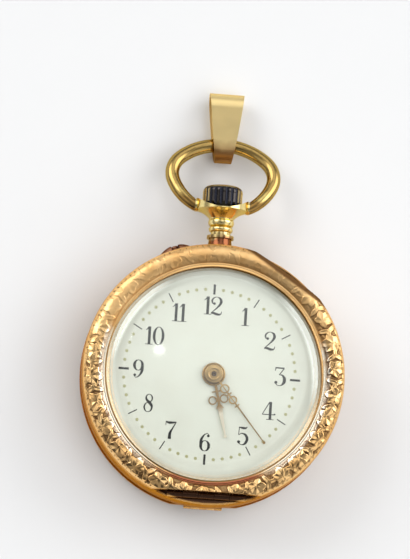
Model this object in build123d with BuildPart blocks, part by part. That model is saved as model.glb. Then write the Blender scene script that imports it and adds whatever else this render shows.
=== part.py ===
from build123d import *

import os
from math import acos, asin, atan2, cos, degrees, hypot, radians, sin, sqrt

# Lady's open-face pendant watch with a crown winder and a push piece for setting the hands.
# Millimetres. It lies on its back: +Z is the dial side, +Y is 12 o'clock, +X is 3 o'clock.
# The origin is the centre of the flat on the back cover, under the hands' axis.

# Case

case_radius = 15.0
band_inset = 0.2
band_radius = case_radius - band_inset
band_bulge = 0.15
back_depth = 2.4
band_height = 4.4
bore_clearance = 0.4
seat_clearance = 0.05
flange_clearance = 0.05
flange_step = 0.5
seat_height = 1.8
rib_width = 0.4
rib_height = 0.3
front_rib_inset = 1.5
front_rib_radius = case_radius - front_rib_inset
back_rib_inset = 0.85
back_rib_radius = case_radius - back_rib_inset
fit_gap = 0.1
running_gap = 0.04

# Back cover and inner cover

rest_flat_radius = 7.0
cover_wall = 0.45
dome_rise = 1.347
dome_edge_inset = 0.6
dome_edge_radius = case_radius - dome_edge_inset
dome_radius = ((dome_edge_radius - rest_flat_radius) ** 2 + dome_rise ** 2) / (2 * dome_rise)
cover_rim_height = 0.4
cover_edge_bulge = 0.09
lip_reach = 0.5
lip_half_angle = 17.0
lip_angle = 57.0
lip_thickness = 0.35
lip_drop = 0.1
cuvette_inset = 1.55
cuvette_radius = case_radius - cuvette_inset
cuvette_thickness = 0.35
cuvette_chord_inset = 2.05
cuvette_chord = case_radius - cuvette_chord_inset
cuvette_nick_radius = 1.2
cuvette_nick_offset = 0.72

# Bezel and glass

bezel_height = 1.7
bezel_edge_height = 0.35
bezel_crown_inset = 1.7
bezel_crown_radius = case_radius - bezel_crown_inset
bezel_swell_share = 0.24
bezel_lip_radius = 12.3
bezel_lip_width = 0.48
bezel_lip_height = 0.38
bezel_lip_rise = 0.12
bezel_under_gap = 0.05
glass_radius = 12.6
glass_edge = 0.5
glass_rise = 1.15
glass_thickness = 0.55
glass_shoulder_radius = 10.2
glass_shoulder_drop = 0.45
glass_corner_bulge = 0.14
thumb_flat_inset = 0.75
thumb_flat = case_radius - thumb_flat_inset
thumb_rim = 0.15
thumb_recess = 0.5

# Hinges at 6 o'clock

bezel_hinge_inset = 1.15
bezel_hinge_y = case_radius - bezel_hinge_inset
bezel_knuckle_radius = 0.42
bezel_hinge_length = 9.0
bezel_chord_inset = 1.65
bezel_chord = case_radius - bezel_chord_inset
bezel_edge_inset = 1.4
bezel_edge_y = case_radius - bezel_edge_inset
bezel_heel_room = 0.45
back_hinge_inset = 0.5
back_hinge_y = case_radius - back_hinge_inset
back_knuckle_radius = 0.45
back_hinge_length = 4.4
back_chord_inset = 1.03
back_chord = case_radius - back_chord_inset
cuvette_hinge_inset = 1.85
cuvette_hinge_y = case_radius - cuvette_hinge_inset
cuvette_hinge_drop = 0.15
cuvette_knuckle_radius = 0.3
cuvette_hinge_length = 5.0
knuckle_count = 5
knuckle_gap = 0.05
pin_share = 0.45
overrun = 1.0

# Pendant, crown and stem

stem_height = 4.6
spot_face_radius = 1.85
pendant_base_inset = 0.45
pendant_base_y = case_radius - pendant_base_inset
tenon_radius = 1.1
neck_bore_radius = 0.6
neck_base_radius = 1.75
neck_waist_radius = 1.3
neck_waist_reach = 1.05
neck_waist_y = case_radius + neck_waist_reach
collar_radius = 1.55
collar_width = 0.36
bead_radius = 1.38
bead_root_radius = 1.12
bead_reach = 2.15
bead_y = case_radius + bead_reach
bead_width = 0.7
ring_radius = 1.48
ring_reach = 2.95
ring_y = case_radius + ring_reach
ring_width = 0.7
cup_foot_radius = 1.42
cup_foot_reach = 3.4
cup_foot_y = case_radius + cup_foot_reach
cup_radius = 3.0
cup_corner_reach = 4.35
cup_corner_y = case_radius + cup_corner_reach
cup_rim_reach = 5.65
cup_rim_y = case_radius + cup_rim_reach
cup_wall = 0.42
cup_floor_reach = 4.42
cup_floor_y = case_radius + cup_floor_reach
cup_dip = 1.2
ear_radius = 0.75
ear_reach = 3.13
crown_radius = 2.28
crown_end_radius = 2.02
crown_bottom_reach = 4.6
crown_bottom_y = case_radius + crown_bottom_reach
crown_height = 2.56
crown_taper = 0.6
crown_shoulder = 0.9
crown_shoulder_width = 0.56
crown_shoulder_share = 0.72
crown_flutes = 22
crown_flute_radius = 0.2
crown_flute_offset = 0.05
crown_dome = 0.18
stem_radius = 0.42
stem_end_depth = 0.6

# Bow and bail

pivot_reach = 4.86
pivot_y = case_radius + pivot_reach
bow_wire_radius = 0.78
bow_end_radius = 0.6
bow_half_width = 5.88
bow_widest = 4.2
bow_length = 8.35
bow_side_radius = 3.0
bow_leg_angle = 20.0
bow_screw_radius = 0.22
bow_screw_depth = 0.4
bail_wall = 0.4
bail_clearance = 0.3
bail_foot = 0.6
bail_top_reach = 13.74
bail_top_y = pivot_y + bail_top_reach
bail_top_radius = 1.25
bail_top_width = 4.0
bail_middle_width = 2.95
bail_bottom_width = 1.9
bail_middle_share = 0.42

# Push piece and its guards

push_angle = 109.4
push_radius = 0.42
push_overhang = 0.75
push_reach = case_radius + push_overhang
push_inner = 11.55
push_flange_radius = 0.72
push_flange = 0.3
lever_radius = 11.08
lever_angle = 126.5
lever_bottom = 4.95
lever_thickness = 0.3
lever_boss = 0.6
lever_tip = 0.15
lever_waist = 0.3
lever_touch_gap = 0.05
guard_length = 4.4
guard_height = 2.3
guard_inset = 0.5
guard_root = case_radius - guard_inset
guard_toe = 0.3
guard_reach = 1.3
guard_rounding = 0.6

# Movement

movement_radius = 12.5
flange_radius = 12.8
plate_bottom = 5.35
plate_thickness = 1.25
flange_thickness = 0.3
recess_radius = 9.3
recess_depth = 0.65
bridge_bottom = 3.2
bridge_thickness = 0.7
bridge_circle = 4.6
bridge_window_gap = 0.3
bridge_post_radius = 0.68
centre_cock_gap = 0.4
wheel_plate = 0.14
wheel_arms = 5
wheel_rim_share = 0.84
wheel_hub_share = 0.24
wheel_arm_share = 0.14
arbor_radius = 0.2
wheel_seat_radius = 0.3
centre_arbor_radius = 0.4
leaf_gap = 0.12
pivot_radius = 0.11
jewel_radius = 0.45
jewel_thickness = 0.3
addendum_share = 0.85
dedendum_share = 1.15
tip_share = 0.13
root_share = 0.27
foot_radius = 0.9
balance_foot_radius = 1.44
balance_post_radius = 1.17
foot_places = {
    "barrel_a": (11.3, 137.0),
    "barrel_b": (10.95, 199.0),
    "barrel_c": (10.95, 69.0),
    "centre": (10.9, 40.0),
    "third": (10.9, 10.0),
    "fourth": (10.9, -25.0),
    "escape": (10.9, -52.0),
    "balance": (10.7, -130.0),
}
screw_head_radius = 0.5
screw_head = 0.24
screw_radius = 0.26
screw_depth = 0.55
screw_slot = 0.14
case_screw_angles = (25.0, 165.0)
case_screw_head_radius = 0.7

barrel_teeth = 64
barrel_module = 0.155
barrel_angle = 150.0
barrel_bottom = 4.3
barrel_top = 5.28
barrel_gear_height = 0.36
barrel_wall = 0.22
barrel_floor = 0.18
barrel_lid = 0.16
barrel_arbor_radius = 0.95
spring_turns = 5.5
spring_strip = 0.12
spring_inset = 0.08
ratchet_teeth = 38
crown_wheel_teeth = 24
winding_module = 0.2
winding_wheel_height = 0.32
winding_hub_radius = 0.75
click_angle = 252.0
click_offset = 1.1
click_reach = 27.0
click_spring_width = 0.16
click_spring_reach = 1.2
click_nose_radius = 0.2
winding_screw_head_radius = 0.95
winding_pinion_teeth = 14
winding_pinion_radius = 1.28
winding_pinion_width = 0.8
clutch_radius = 0.9
clutch_groove_radius = 0.55
clutch_width = 1.1
clutch_groove_width = 0.36
clutch_square = 0.56
clutch_y = 8.05
clutch_room = 0.75
clutch_travel = 0.63
stem_block_half_width = 1.26
pinion_room = 0.2

centre_teeth = 64
centre_leaves = 8
centre_module = 0.12
centre_level = 4.02
third_teeth = 60
third_leaves = 8
third_module = 0.105
third_level = 5.08
third_leaf_height = 0.46
fourth_teeth = 60
fourth_leaves = 8
fourth_module = 0.1
fourth_level = 4.8
escape_leaves = 6
escape_teeth = 15
escape_radius = 2.3
escape_level = 5.34
escape_sink = 0.25
escape_sink_gap = 0.3
escape_root_share = 0.8
escape_tooth_shares = (0.0, 0.55, 0.68, 0.8)
escape_hub_radius = 0.6
balance_angle = -80.0
balance_distance = 7.5
balance_radius = 4.15
balance_rim = 0.45
balance_level = 3.5
balance_height = 0.34
balance_arm = 0.5
balance_screws = 12
balance_screw_radius = 0.16
balance_screw_length = 0.28
staff_radius = 0.3
balance_hub_radius = 0.72
escape_from_balance = 55.0
fourth_from_escape = 35.0
balance_cock_bottom = 2.82
balance_cock_thickness = 0.34
hairspring_turns = 8
hairspring_inner = 0.62
hairspring_outer = 1.95
hairspring_strip = 0.05
hairspring_height = 0.1
stud_radius = 0.2
regulator_ring_radius = 0.9
regulator_thickness = 0.14
regulator_reach = 2.6
regulator_angle = 100.0
regulator_root_radius = 0.15
regulator_tip_radius = 0.09
regulator_root_distance = 0.68

# Motion work, dial and hands

cannon_teeth = 12
minute_teeth = 36
minute_module = 0.12
minute_leaves = 10
hour_teeth = 40
motion_height = 0.16
minute_pinion_height = 0.24
minute_post_height = 0.56
setting_post_height = 0.32
motion_floor_gap = 0.08
setting_teeth = 20
cannon_pipe_radius = 0.48
hour_pipe_radius = 0.8
centre_post_radius = 0.28
dial_radius = 12.6
dial_thickness = 0.5
dial_hole_radius = 1.0
dial_edge = 0.12
dial_foot_radius = 0.35
dial_foot_distance = 10.6
dial_foot_angles = (62.0, 182.0, 302.0)
dial_foot_length = 0.9
hand_thickness = 0.12
hour_hand_rise = 0.3
minute_hand_rise = 0.3
hour_boss_radius = 1.3
minute_boss_radius = 1.05
boss_rise = 0.1
hour_hand_length = 7.4
minute_hand_length = 9.85
hour_hand_angle = 166.0
minute_hand_angle = 140.4
hand_line = 0.16
hand_tip = 0.17
hour_stem_width = 0.3
hour_cross_y = 2.0
hour_cross_length = 1.15
hour_ring_x = 0.66
hour_ring_y = 2.95
hour_ring_radius = 0.5
hour_ring_line = 0.14
hour_bead_radius = 0.28
hour_neck_y = 3.5
hour_fleur_y = 4.0
hour_fleur_width = 0.96
hour_blade_width = 0.54
minute_stem_width = 0.22
minute_point_width = 0.1
minute_rings = ((2.11, 0.52), (3.69, 0.46))
minute_ring_shift = 0.04
minute_ring_line = 0.13
minute_knobs = ((2.9, 0.76), (4.5, 0.64))

# Levels and places that follow from the sizes above

bore_radius = movement_radius + bore_clearance
seat_radius = movement_radius + seat_clearance
flange_bore_radius = flange_radius + flange_clearance
band_bottom = back_depth
band_top = back_depth + band_height
plate_top = plate_bottom + plate_thickness
recess_floor = plate_top - recess_depth
bridge_top = bridge_bottom + bridge_thickness
dial_top = plate_top + dial_thickness
bezel_under = band_top + rib_height + bezel_under_gap
glass_bottom = bezel_under + bezel_lip_height / 2
hour_hand_level = dial_top + hour_hand_rise - hand_thickness
minute_hand_level = hour_hand_level + minute_hand_rise
cannon_top = minute_hand_level + hand_thickness + boss_rise
origin_point = (0.0, 0.0)

pieces = {}


# Shared ways of making things

def finish(builder, name):
    """Labels a finished piece and keeps it for the export."""
    builder.part.label = name
    pieces[name] = builder.part


def polar(centre, distance, angle):
    """The point at this distance and angle from another one."""
    return (centre[0] + distance * cos(radians(angle)), centre[1] + distance * sin(radians(angle)))


def spacing(a, b):
    """The distance between two points."""
    return hypot(b[0] - a[0], b[1] - a[1])


def heading(a, b):
    """The direction from one point to another, in degrees."""
    return degrees(atan2(b[1] - a[1], b[0] - a[0]))


def flat_at(point, height):
    """A level plane over a point."""
    return Plane(origin=(point[0], point[1], height))


def across_at(x, y, z):
    """A plane square to X."""
    return Plane(origin=(x, y, z), x_dir=(0, 1, 0), z_dir=(1, 0, 0))


def along_stem(y):
    """A plane square to the stem, looking away from the case."""
    return Plane(origin=(0, y, stem_height), x_dir=(1, 0, 0), z_dir=(0, 1, 0))


def radial_at(angle, distance, height):
    """A plane square to a radius of the case, looking outwards."""
    turn = radians(angle)
    origin = (distance * cos(turn), distance * sin(turn), height)
    return Plane(origin=origin, x_dir=(-sin(turn), cos(turn), 0), z_dir=(cos(turn), sin(turn), 0))


def disc(plane, radius, height, mode=Mode.ADD):
    """A round disc that grows from a plane along its normal."""
    with BuildSketch(plane) as face:
        Circle(radius)
    extrude(to_extrude=face.sketch, amount=height, mode=mode)


def ring(plane, outer, inner, height, mode=Mode.ADD):
    """A flat ring that grows from a plane along its normal."""
    with BuildSketch(plane) as face:
        Circle(outer)
        Circle(inner, mode=Mode.SUBTRACT)
    extrude(to_extrude=face.sketch, amount=height, mode=mode)


def block(plane, length, width, height, mode=Mode.ADD):
    """A rectangular block centred on a plane's origin that grows along its normal."""
    with BuildSketch(plane) as face:
        Rectangle(length, width)
    extrude(to_extrude=face.sketch, amount=height, mode=mode)


def bar(bottom, height, first, first_radius, last, last_radius, mode=Mode.ADD):
    """A tapered bar with round ends between two points."""
    with BuildSketch(Plane.XY.offset(bottom)) as face:
        with Locations(first):
            Circle(first_radius)
        with Locations(last):
            Circle(last_radius)
        make_hull()
    extrude(to_extrude=face.sketch, amount=height, mode=mode)


def toothed(plane, teeth, module, height, phase=0.0):
    """A spur gear blank with straight-sided teeth, one of them centred on the phase angle."""
    pitch = 360 / teeth
    outer = module * (teeth / 2 + addendum_share)
    root = module * (teeth / 2 - dedendum_share)
    corners = ((root, -root_share), (outer, -tip_share), (outer, tip_share), (root, root_share))
    points = []
    for tooth in range(teeth):
        for radius, share in corners:
            points.append(polar(origin_point, radius, phase + (tooth + share) * pitch))
    with BuildSketch(plane) as face:
        with BuildLine():
            Polyline(*points, close=True)
        make_face()
    extrude(to_extrude=face.sketch, amount=height)


def windows(plane, outer, inner, arms, arm, height):
    """Cuts the openings between the arms of a wheel."""
    with BuildSketch(plane) as face:
        Circle(outer)
        Circle(inner, mode=Mode.SUBTRACT)
        with PolarLocations(0, arms):
            Rectangle(outer + inner, arm, align=(Align.MIN, Align.CENTER), mode=Mode.SUBTRACT)
    extrude(to_extrude=face.sketch, amount=height, mode=Mode.SUBTRACT)


def train_wheel(name, centre, level, teeth, module, phase, bore):
    """A thin brass train wheel with arms, open at the middle for its arbor."""
    root = module * (teeth / 2 - dedendum_share)
    with BuildPart() as wheel:
        toothed(flat_at(centre, level), teeth, module, wheel_plate, phase)
        windows(flat_at(centre, level), root * wheel_rim_share, root * wheel_hub_share, wheel_arms,
                root * wheel_arm_share, wheel_plate)
        disc(flat_at(centre, level), bore, wheel_plate, Mode.SUBTRACT)
    finish(wheel, name)


def train_arbor(name, centre, steps, leaves, module, phase, leaves_from, leaves_to):
    """A steel arbor with its pivots, shoulders and pinion leaves."""
    with BuildPart() as arbor:
        for bottom, top, radius in steps:
            disc(flat_at(centre, bottom), radius, top - bottom)
        toothed(flat_at(centre, leaves_from), leaves, module, leaves_to - leaves_from, phase)
    finish(arbor, name)


def hinge_pin(name, y, z, length, radius):
    """The pin that holds the knuckles of one hinge."""
    with BuildPart() as pin:
        disc(across_at(-length / 2 + knuckle_gap, -y, z), radius, length - 2 * knuckle_gap)
    finish(pin, name)


# Hinges: the radii of the pins, and the bores of the moving and fixed knuckles

bezel_pin_radius = bezel_knuckle_radius * pin_share
back_pin_radius = back_knuckle_radius * pin_share
cuvette_pin_radius = cuvette_knuckle_radius * pin_share
cuvette_hinge_z = band_bottom - cuvette_hinge_drop
hinge_clear = fit_gap / 2


# Case middle: the band that carries the movement, the covers and the pendant

with BuildPart() as case_middle:
    with BuildSketch(Plane.XZ):
        with BuildLine():
            rib_out = back_rib_radius
            rib_in = back_rib_radius - rib_width / 2
            Polyline(
                (band_radius, band_bottom),
                (rib_out, band_bottom),
                (rib_out, band_bottom - rib_height),
                (rib_in, band_bottom - rib_height),
                (rib_in, band_bottom),
                (bore_radius, band_bottom),
                (bore_radius, plate_top - flange_thickness - seat_height + flange_step),
                (seat_radius, plate_top - flange_thickness - seat_height + flange_step),
                (seat_radius, plate_top - flange_thickness),
                (flange_bore_radius, plate_top - flange_thickness),
                (flange_bore_radius, band_top),
                (front_rib_radius - rib_width, band_top),
                (front_rib_radius - rib_width, band_top + rib_height),
                (front_rib_radius, band_top + rib_height),
                (front_rib_radius, band_top),
                (band_radius, band_top),
            )
            ThreePointArc(
                (band_radius, band_top),
                (band_radius + band_bulge, (band_top + band_bottom) / 2),
                (band_radius, band_bottom),
            )
        make_face()
    revolve(axis=Axis.Z)
    # Seat and hole for the pendant
    disc(along_stem(pendant_base_y), spot_face_radius, case_radius, Mode.SUBTRACT)
    disc(along_stem(0), tenon_radius, case_radius, Mode.SUBTRACT)
    # Hole for the push piece
    disc(radial_at(push_angle, 0, stem_height), push_radius + running_gap, case_radius + overrun,
         Mode.SUBTRACT)
    # Crescent for a thumb nail beside the bezel's cut edge, with a thin rim left outside it
    with BuildSketch(Plane(origin=(0, 0, band_top), x_dir=(cos(radians(lip_angle)), sin(radians(lip_angle)), 0),
                           z_dir=(0, 0, 1))):
        Circle(band_radius - thumb_rim)
        with Locations((thumb_flat - case_radius, 0)):
            Rectangle(2 * case_radius, 2 * case_radius, mode=Mode.SUBTRACT)
    extrude(amount=-thumb_recess, mode=Mode.SUBTRACT)
    # Room for the bezel's heel, which dips below the band's top as it opens
    with BuildSketch(Plane(origin=(0, -bezel_edge_y - fit_gap - case_radius / 2, band_top))):
        Rectangle(2 * case_radius, case_radius)
    extrude(amount=-bezel_heel_room, mode=Mode.SUBTRACT)
    # Room for the bezel's hinge, then its fixed knuckles
    with BuildSketch(Plane(origin=(0, -case_radius, band_top))):
        Rectangle(bezel_hinge_length + 2 * fit_gap,
                  2 * (case_radius - front_rib_radius + rib_width + fit_gap))
    extrude(amount=overrun, mode=Mode.SUBTRACT)
    disc(across_at(-bezel_hinge_length / 2 - fit_gap, -bezel_hinge_y, band_top),
         bezel_knuckle_radius + hinge_clear, bezel_hinge_length + 2 * fit_gap, Mode.SUBTRACT)
    for index in range(0, knuckle_count, 2):
        pitch = bezel_hinge_length / knuckle_count
        with BuildSketch(across_at(-bezel_hinge_length / 2 + index * pitch + knuckle_gap / 2,
                                   -bezel_hinge_y, band_top)):
            Circle(bezel_knuckle_radius)
            with Locations((0, -bezel_knuckle_radius)):
                Rectangle(bezel_knuckle_radius, bezel_knuckle_radius)
            Circle(bezel_pin_radius, mode=Mode.SUBTRACT)
        extrude(amount=pitch - knuckle_gap)
    # Room for the back cover's hinge, then its fixed knuckles
    with BuildSketch(Plane(origin=(0, -case_radius, band_bottom))):
        Rectangle(back_hinge_length + 2 * fit_gap, 2 * (case_radius - back_rib_radius + rib_width + fit_gap))
    extrude(amount=-overrun, mode=Mode.SUBTRACT)
    disc(across_at(-back_hinge_length / 2 - fit_gap, -back_hinge_y, band_bottom),
         back_knuckle_radius + hinge_clear, back_hinge_length + 2 * fit_gap, Mode.SUBTRACT)
    for index in range(0, knuckle_count, 2):
        pitch = back_hinge_length / knuckle_count
        with BuildSketch(across_at(-back_hinge_length / 2 + index * pitch + knuckle_gap / 2,
                                   -back_hinge_y, band_bottom)):
            Circle(back_knuckle_radius)
            with Locations((0, back_knuckle_radius)):
                Rectangle(back_knuckle_radius, back_knuckle_radius)
            Circle(back_pin_radius, mode=Mode.SUBTRACT)
        extrude(amount=pitch - knuckle_gap)
    # Room for the inner cover's hinge, then its fixed knuckles
    disc(across_at(-cuvette_hinge_length / 2 - fit_gap, -cuvette_hinge_y, cuvette_hinge_z),
         cuvette_knuckle_radius + hinge_clear, cuvette_hinge_length + 2 * fit_gap, Mode.SUBTRACT)
    for index in range(0, knuckle_count, 2):
        pitch = cuvette_hinge_length / knuckle_count
        with BuildSketch(across_at(-cuvette_hinge_length / 2 + index * pitch + knuckle_gap / 2,
                                   -cuvette_hinge_y, cuvette_hinge_z)):
            Circle(cuvette_knuckle_radius)
            with Locations((0, cuvette_knuckle_radius)):
                Rectangle(cuvette_knuckle_radius, cuvette_knuckle_radius)
            Circle(cuvette_pin_radius, mode=Mode.SUBTRACT)
        extrude(amount=pitch - knuckle_gap)
finish(case_middle, "case_middle")

hinge_pin("bezel_hinge_pin", bezel_hinge_y, band_top, bezel_hinge_length, bezel_pin_radius)
hinge_pin("back_hinge_pin", back_hinge_y, band_bottom, back_hinge_length, back_pin_radius)
hinge_pin("cuvette_hinge_pin", cuvette_hinge_y, cuvette_hinge_z, cuvette_hinge_length,
          cuvette_pin_radius)


# Bezel: the engraved front ring that holds the glass

bezel_top = band_top + bezel_height
lip_top = glass_bottom + glass_edge + bezel_lip_height
with BuildPart() as bezel:
    with BuildSketch(Plane.XZ):
        with BuildLine():
            shoulder = (case_radius, band_top + bezel_edge_height)
            crest = (bezel_crown_radius, bezel_top)
            half_way = ((shoulder[0] + crest[0]) / 2, (shoulder[1] + crest[1]) / 2)
            swell = (case_radius - bezel_crown_radius) * bezel_swell_share
            Line((case_radius, band_top), shoulder)
            ThreePointArc(shoulder, (half_way[0] + swell, half_way[1] + swell), crest)
            dip = (bezel_lip_radius + bezel_lip_width, lip_top)
            ThreePointArc(crest, ((crest[0] + dip[0]) / 2, (crest[1] + dip[1]) / 2 + bezel_lip_rise / 2), dip)
            Polyline(
                dip,
                (bezel_lip_radius, lip_top + bezel_lip_rise),
                (bezel_lip_radius, glass_bottom + glass_edge),
                (glass_radius + running_gap, glass_bottom + glass_edge),
                (glass_radius + running_gap, glass_bottom),
                (bezel_lip_radius, glass_bottom),
                (bezel_lip_radius, bezel_under),
                (front_rib_radius + fit_gap, bezel_under),
                (front_rib_radius + fit_gap, band_top),
                (case_radius, band_top),
            )
        make_face()
    revolve(axis=Axis.Z)
    # Undercut for the hinge, the flat of its edge above, and the cut-back edge over the thumb lip
    with BuildSketch(Plane(origin=(0, -bezel_chord - case_radius / 2, band_top))):
        Rectangle(2 * case_radius, case_radius)
    extrude(amount=bezel_knuckle_radius + hinge_clear, mode=Mode.SUBTRACT)
    with BuildSketch(Plane(origin=(0, -bezel_edge_y - case_radius / 2, band_top))):
        Rectangle(2 * case_radius, case_radius)
    extrude(amount=bezel_height + overrun, mode=Mode.SUBTRACT)
    block(Plane(origin=polar(origin_point, thumb_flat, lip_angle) + (band_top,),
                x_dir=(-sin(radians(lip_angle)), cos(radians(lip_angle)), 0),
                z_dir=(cos(radians(lip_angle)), sin(radians(lip_angle)), 0)),
          case_radius, 2 * (bezel_height + overrun), case_radius, Mode.SUBTRACT)
    for index in range(1, knuckle_count, 2):
        pitch = bezel_hinge_length / knuckle_count
        with BuildSketch(across_at(-bezel_hinge_length / 2 + index * pitch + knuckle_gap / 2,
                                   -bezel_hinge_y, band_top)):
            Circle(bezel_knuckle_radius)
            with BuildLine():
                reach = bezel_hinge_y - bezel_chord
                Polyline((0, 0), (reach, 0), (reach, bezel_knuckle_radius), (0, bezel_knuckle_radius),
                         close=True)
            make_face()
            Circle(bezel_pin_radius + running_gap, mode=Mode.SUBTRACT)
        extrude(amount=pitch - knuckle_gap)
finish(bezel, "bezel")

with BuildPart() as crystal:
    with BuildSketch(Plane.XZ):
        with BuildLine():
            inner_edge = glass_radius - glass_edge
            glass_top = glass_bottom + glass_edge
            middle = glass_top + glass_rise
            shoulder_z = middle - glass_shoulder_drop
            arch = (glass_shoulder_radius ** 2 + glass_shoulder_drop ** 2) / (2 * glass_shoulder_drop)
            half_arch = glass_shoulder_radius / 2
            arch_z = middle - arch + sqrt(arch ** 2 - half_arch ** 2)
            outer_mid = ((glass_shoulder_radius + bezel_lip_radius) / 2 + glass_corner_bulge,
                         (shoulder_z + glass_top) / 2 + glass_corner_bulge)
            inner_mid = ((glass_shoulder_radius + inner_edge) / 2 + glass_corner_bulge,
                         (shoulder_z - glass_thickness + glass_bottom) / 2 + glass_corner_bulge)
            Line((0, middle - glass_thickness), (0, middle))
            ThreePointArc((0, middle), (half_arch, arch_z), (glass_shoulder_radius, shoulder_z))
            ThreePointArc((glass_shoulder_radius, shoulder_z), outer_mid, (bezel_lip_radius, glass_top))
            Polyline((bezel_lip_radius, glass_top), (glass_radius, glass_top), (glass_radius, glass_bottom),
                     (inner_edge, glass_bottom))
            ThreePointArc((inner_edge, glass_bottom), inner_mid,
                          (glass_shoulder_radius, shoulder_z - glass_thickness))
            ThreePointArc((glass_shoulder_radius, shoulder_z - glass_thickness),
                          (half_arch, arch_z - glass_thickness), (0, middle - glass_thickness))
        make_face()
    revolve(axis=Axis.Z)
finish(crystal, "crystal")


# Back cover: a shallow dome with a flat to lie on and a thumb lip

def dome_z(radius, shell):
    """Height of the dome's skin at a radius, on the sphere-like arc beyond the flat."""
    return dome_radius - sqrt((dome_radius - shell) ** 2 - (radius - rest_flat_radius) ** 2)


inner_dome_edge = dome_edge_radius - cover_wall
rim_inner_radius = back_rib_radius + fit_gap
with BuildPart() as back_cover:
    with BuildSketch(Plane.XZ):
        with BuildLine():
            outer_mid = (rest_flat_radius + dome_edge_radius) / 2
            inner_mid = (rest_flat_radius + inner_dome_edge) / 2
            rim_low = (case_radius, band_bottom - cover_rim_height)
            edge = (dome_edge_radius, dome_z(dome_edge_radius, 0))
            inner_edge_point = (inner_dome_edge, dome_z(inner_dome_edge, cover_wall))
            Line((0, 0), (rest_flat_radius, 0))
            ThreePointArc((rest_flat_radius, 0), (outer_mid, dome_z(outer_mid, 0)), edge)
            edge_mid = ((edge[0] + rim_low[0]) / 2 + cover_edge_bulge,
                        (edge[1] + rim_low[1]) / 2 - cover_edge_bulge)
            ThreePointArc(edge, edge_mid, rim_low)
            Polyline(rim_low, (case_radius, band_bottom), (rim_inner_radius, band_bottom),
                     (rim_inner_radius, inner_edge_point[1] + cover_wall / 2), inner_edge_point)
            ThreePointArc(inner_edge_point, (inner_mid, dome_z(inner_mid, cover_wall)),
                          (rest_flat_radius, cover_wall))
            Polyline((rest_flat_radius, cover_wall), (0, cover_wall), (0, 0))
        make_face()
    revolve(axis=Axis.Z)
    # Thumb lip, a crescent on the rim
    half_chord = case_radius * sin(radians(lip_half_angle))
    sagitta = case_radius * (1 - cos(radians(lip_half_angle))) + lip_reach
    lip_radius = (half_chord ** 2 + sagitta ** 2) / (2 * sagitta)
    with BuildSketch(Plane.XY.offset(band_bottom - lip_drop - lip_thickness)):
        with Locations(polar(origin_point, case_radius + lip_reach - lip_radius, lip_angle)):
            Circle(lip_radius)
        Circle(rim_inner_radius + fit_gap, mode=Mode.SUBTRACT)
    extrude(amount=lip_thickness)
    # The rim is filed flat beside the hinge, so that its heel stays clear of the band
    with BuildSketch(Plane(origin=(0, -back_hinge_y - case_radius / 2, 0))):
        Rectangle(2 * case_radius, case_radius)
    extrude(amount=back_depth, mode=Mode.SUBTRACT)
    # Notch for the fixed knuckles, then the cover's own knuckles
    with BuildSketch(Plane(origin=(0, -back_chord - case_radius / 2, 0))):
        Rectangle(back_hinge_length + 2 * fit_gap, case_radius)
    extrude(amount=back_depth, mode=Mode.SUBTRACT)
    for index in range(1, knuckle_count, 2):
        pitch = back_hinge_length / knuckle_count
        with BuildSketch(across_at(-back_hinge_length / 2 + index * pitch + knuckle_gap / 2,
                                   -back_hinge_y, band_bottom)):
            Circle(back_knuckle_radius)
            with BuildLine():
                reach = back_hinge_y - back_chord + fit_gap
                Polyline((0, 0), (reach, 0), (reach, -2 * back_knuckle_radius), (0, -back_knuckle_radius),
                         close=True)
            make_face()
            Circle(back_pin_radius + running_gap, mode=Mode.SUBTRACT)
        extrude(amount=pitch - knuckle_gap)
finish(back_cover, "back_cover")

with BuildPart() as cuvette:
    disc(Plane.XY.offset(band_bottom - cuvette_thickness), cuvette_radius, cuvette_thickness)
    # Nail nick at the side of the pendant, and the flat for the hinge
    disc(flat_at((0, cuvette_radius + cuvette_nick_offset), band_bottom - cuvette_thickness),
         cuvette_nick_radius, cuvette_thickness, Mode.SUBTRACT)
    with BuildSketch(Plane(origin=(0, -cuvette_chord - case_radius / 2, band_bottom - cuvette_thickness))):
        Rectangle(2 * case_radius, case_radius)
    extrude(amount=cuvette_thickness, mode=Mode.SUBTRACT)
    disc(across_at(-cuvette_hinge_length / 2 - fit_gap, -cuvette_hinge_y, cuvette_hinge_z),
         cuvette_knuckle_radius + hinge_clear, cuvette_hinge_length + 2 * fit_gap, Mode.SUBTRACT)
    for index in range(1, knuckle_count, 2):
        pitch = cuvette_hinge_length / knuckle_count
        half_plate = cuvette_thickness / 2
        with BuildSketch(across_at(-cuvette_hinge_length / 2 + index * pitch + knuckle_gap / 2,
                                   -cuvette_hinge_y, cuvette_hinge_z)):
            Circle(cuvette_knuckle_radius)
            with BuildLine():
                reach = cuvette_hinge_y - cuvette_chord + 2 * cuvette_knuckle_radius
                low = band_bottom - cuvette_thickness - cuvette_hinge_z
                Polyline((0, low), (reach, low), (reach, low + half_plate), (0, low + half_plate),
                         close=True)
            make_face()
            Circle(cuvette_pin_radius + running_gap, mode=Mode.SUBTRACT)
        extrude(amount=pitch - knuckle_gap)
finish(cuvette, "cuvette")


# Pendant: a turned neck with a cup for the crown and an ear on each side for the bow

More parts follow.
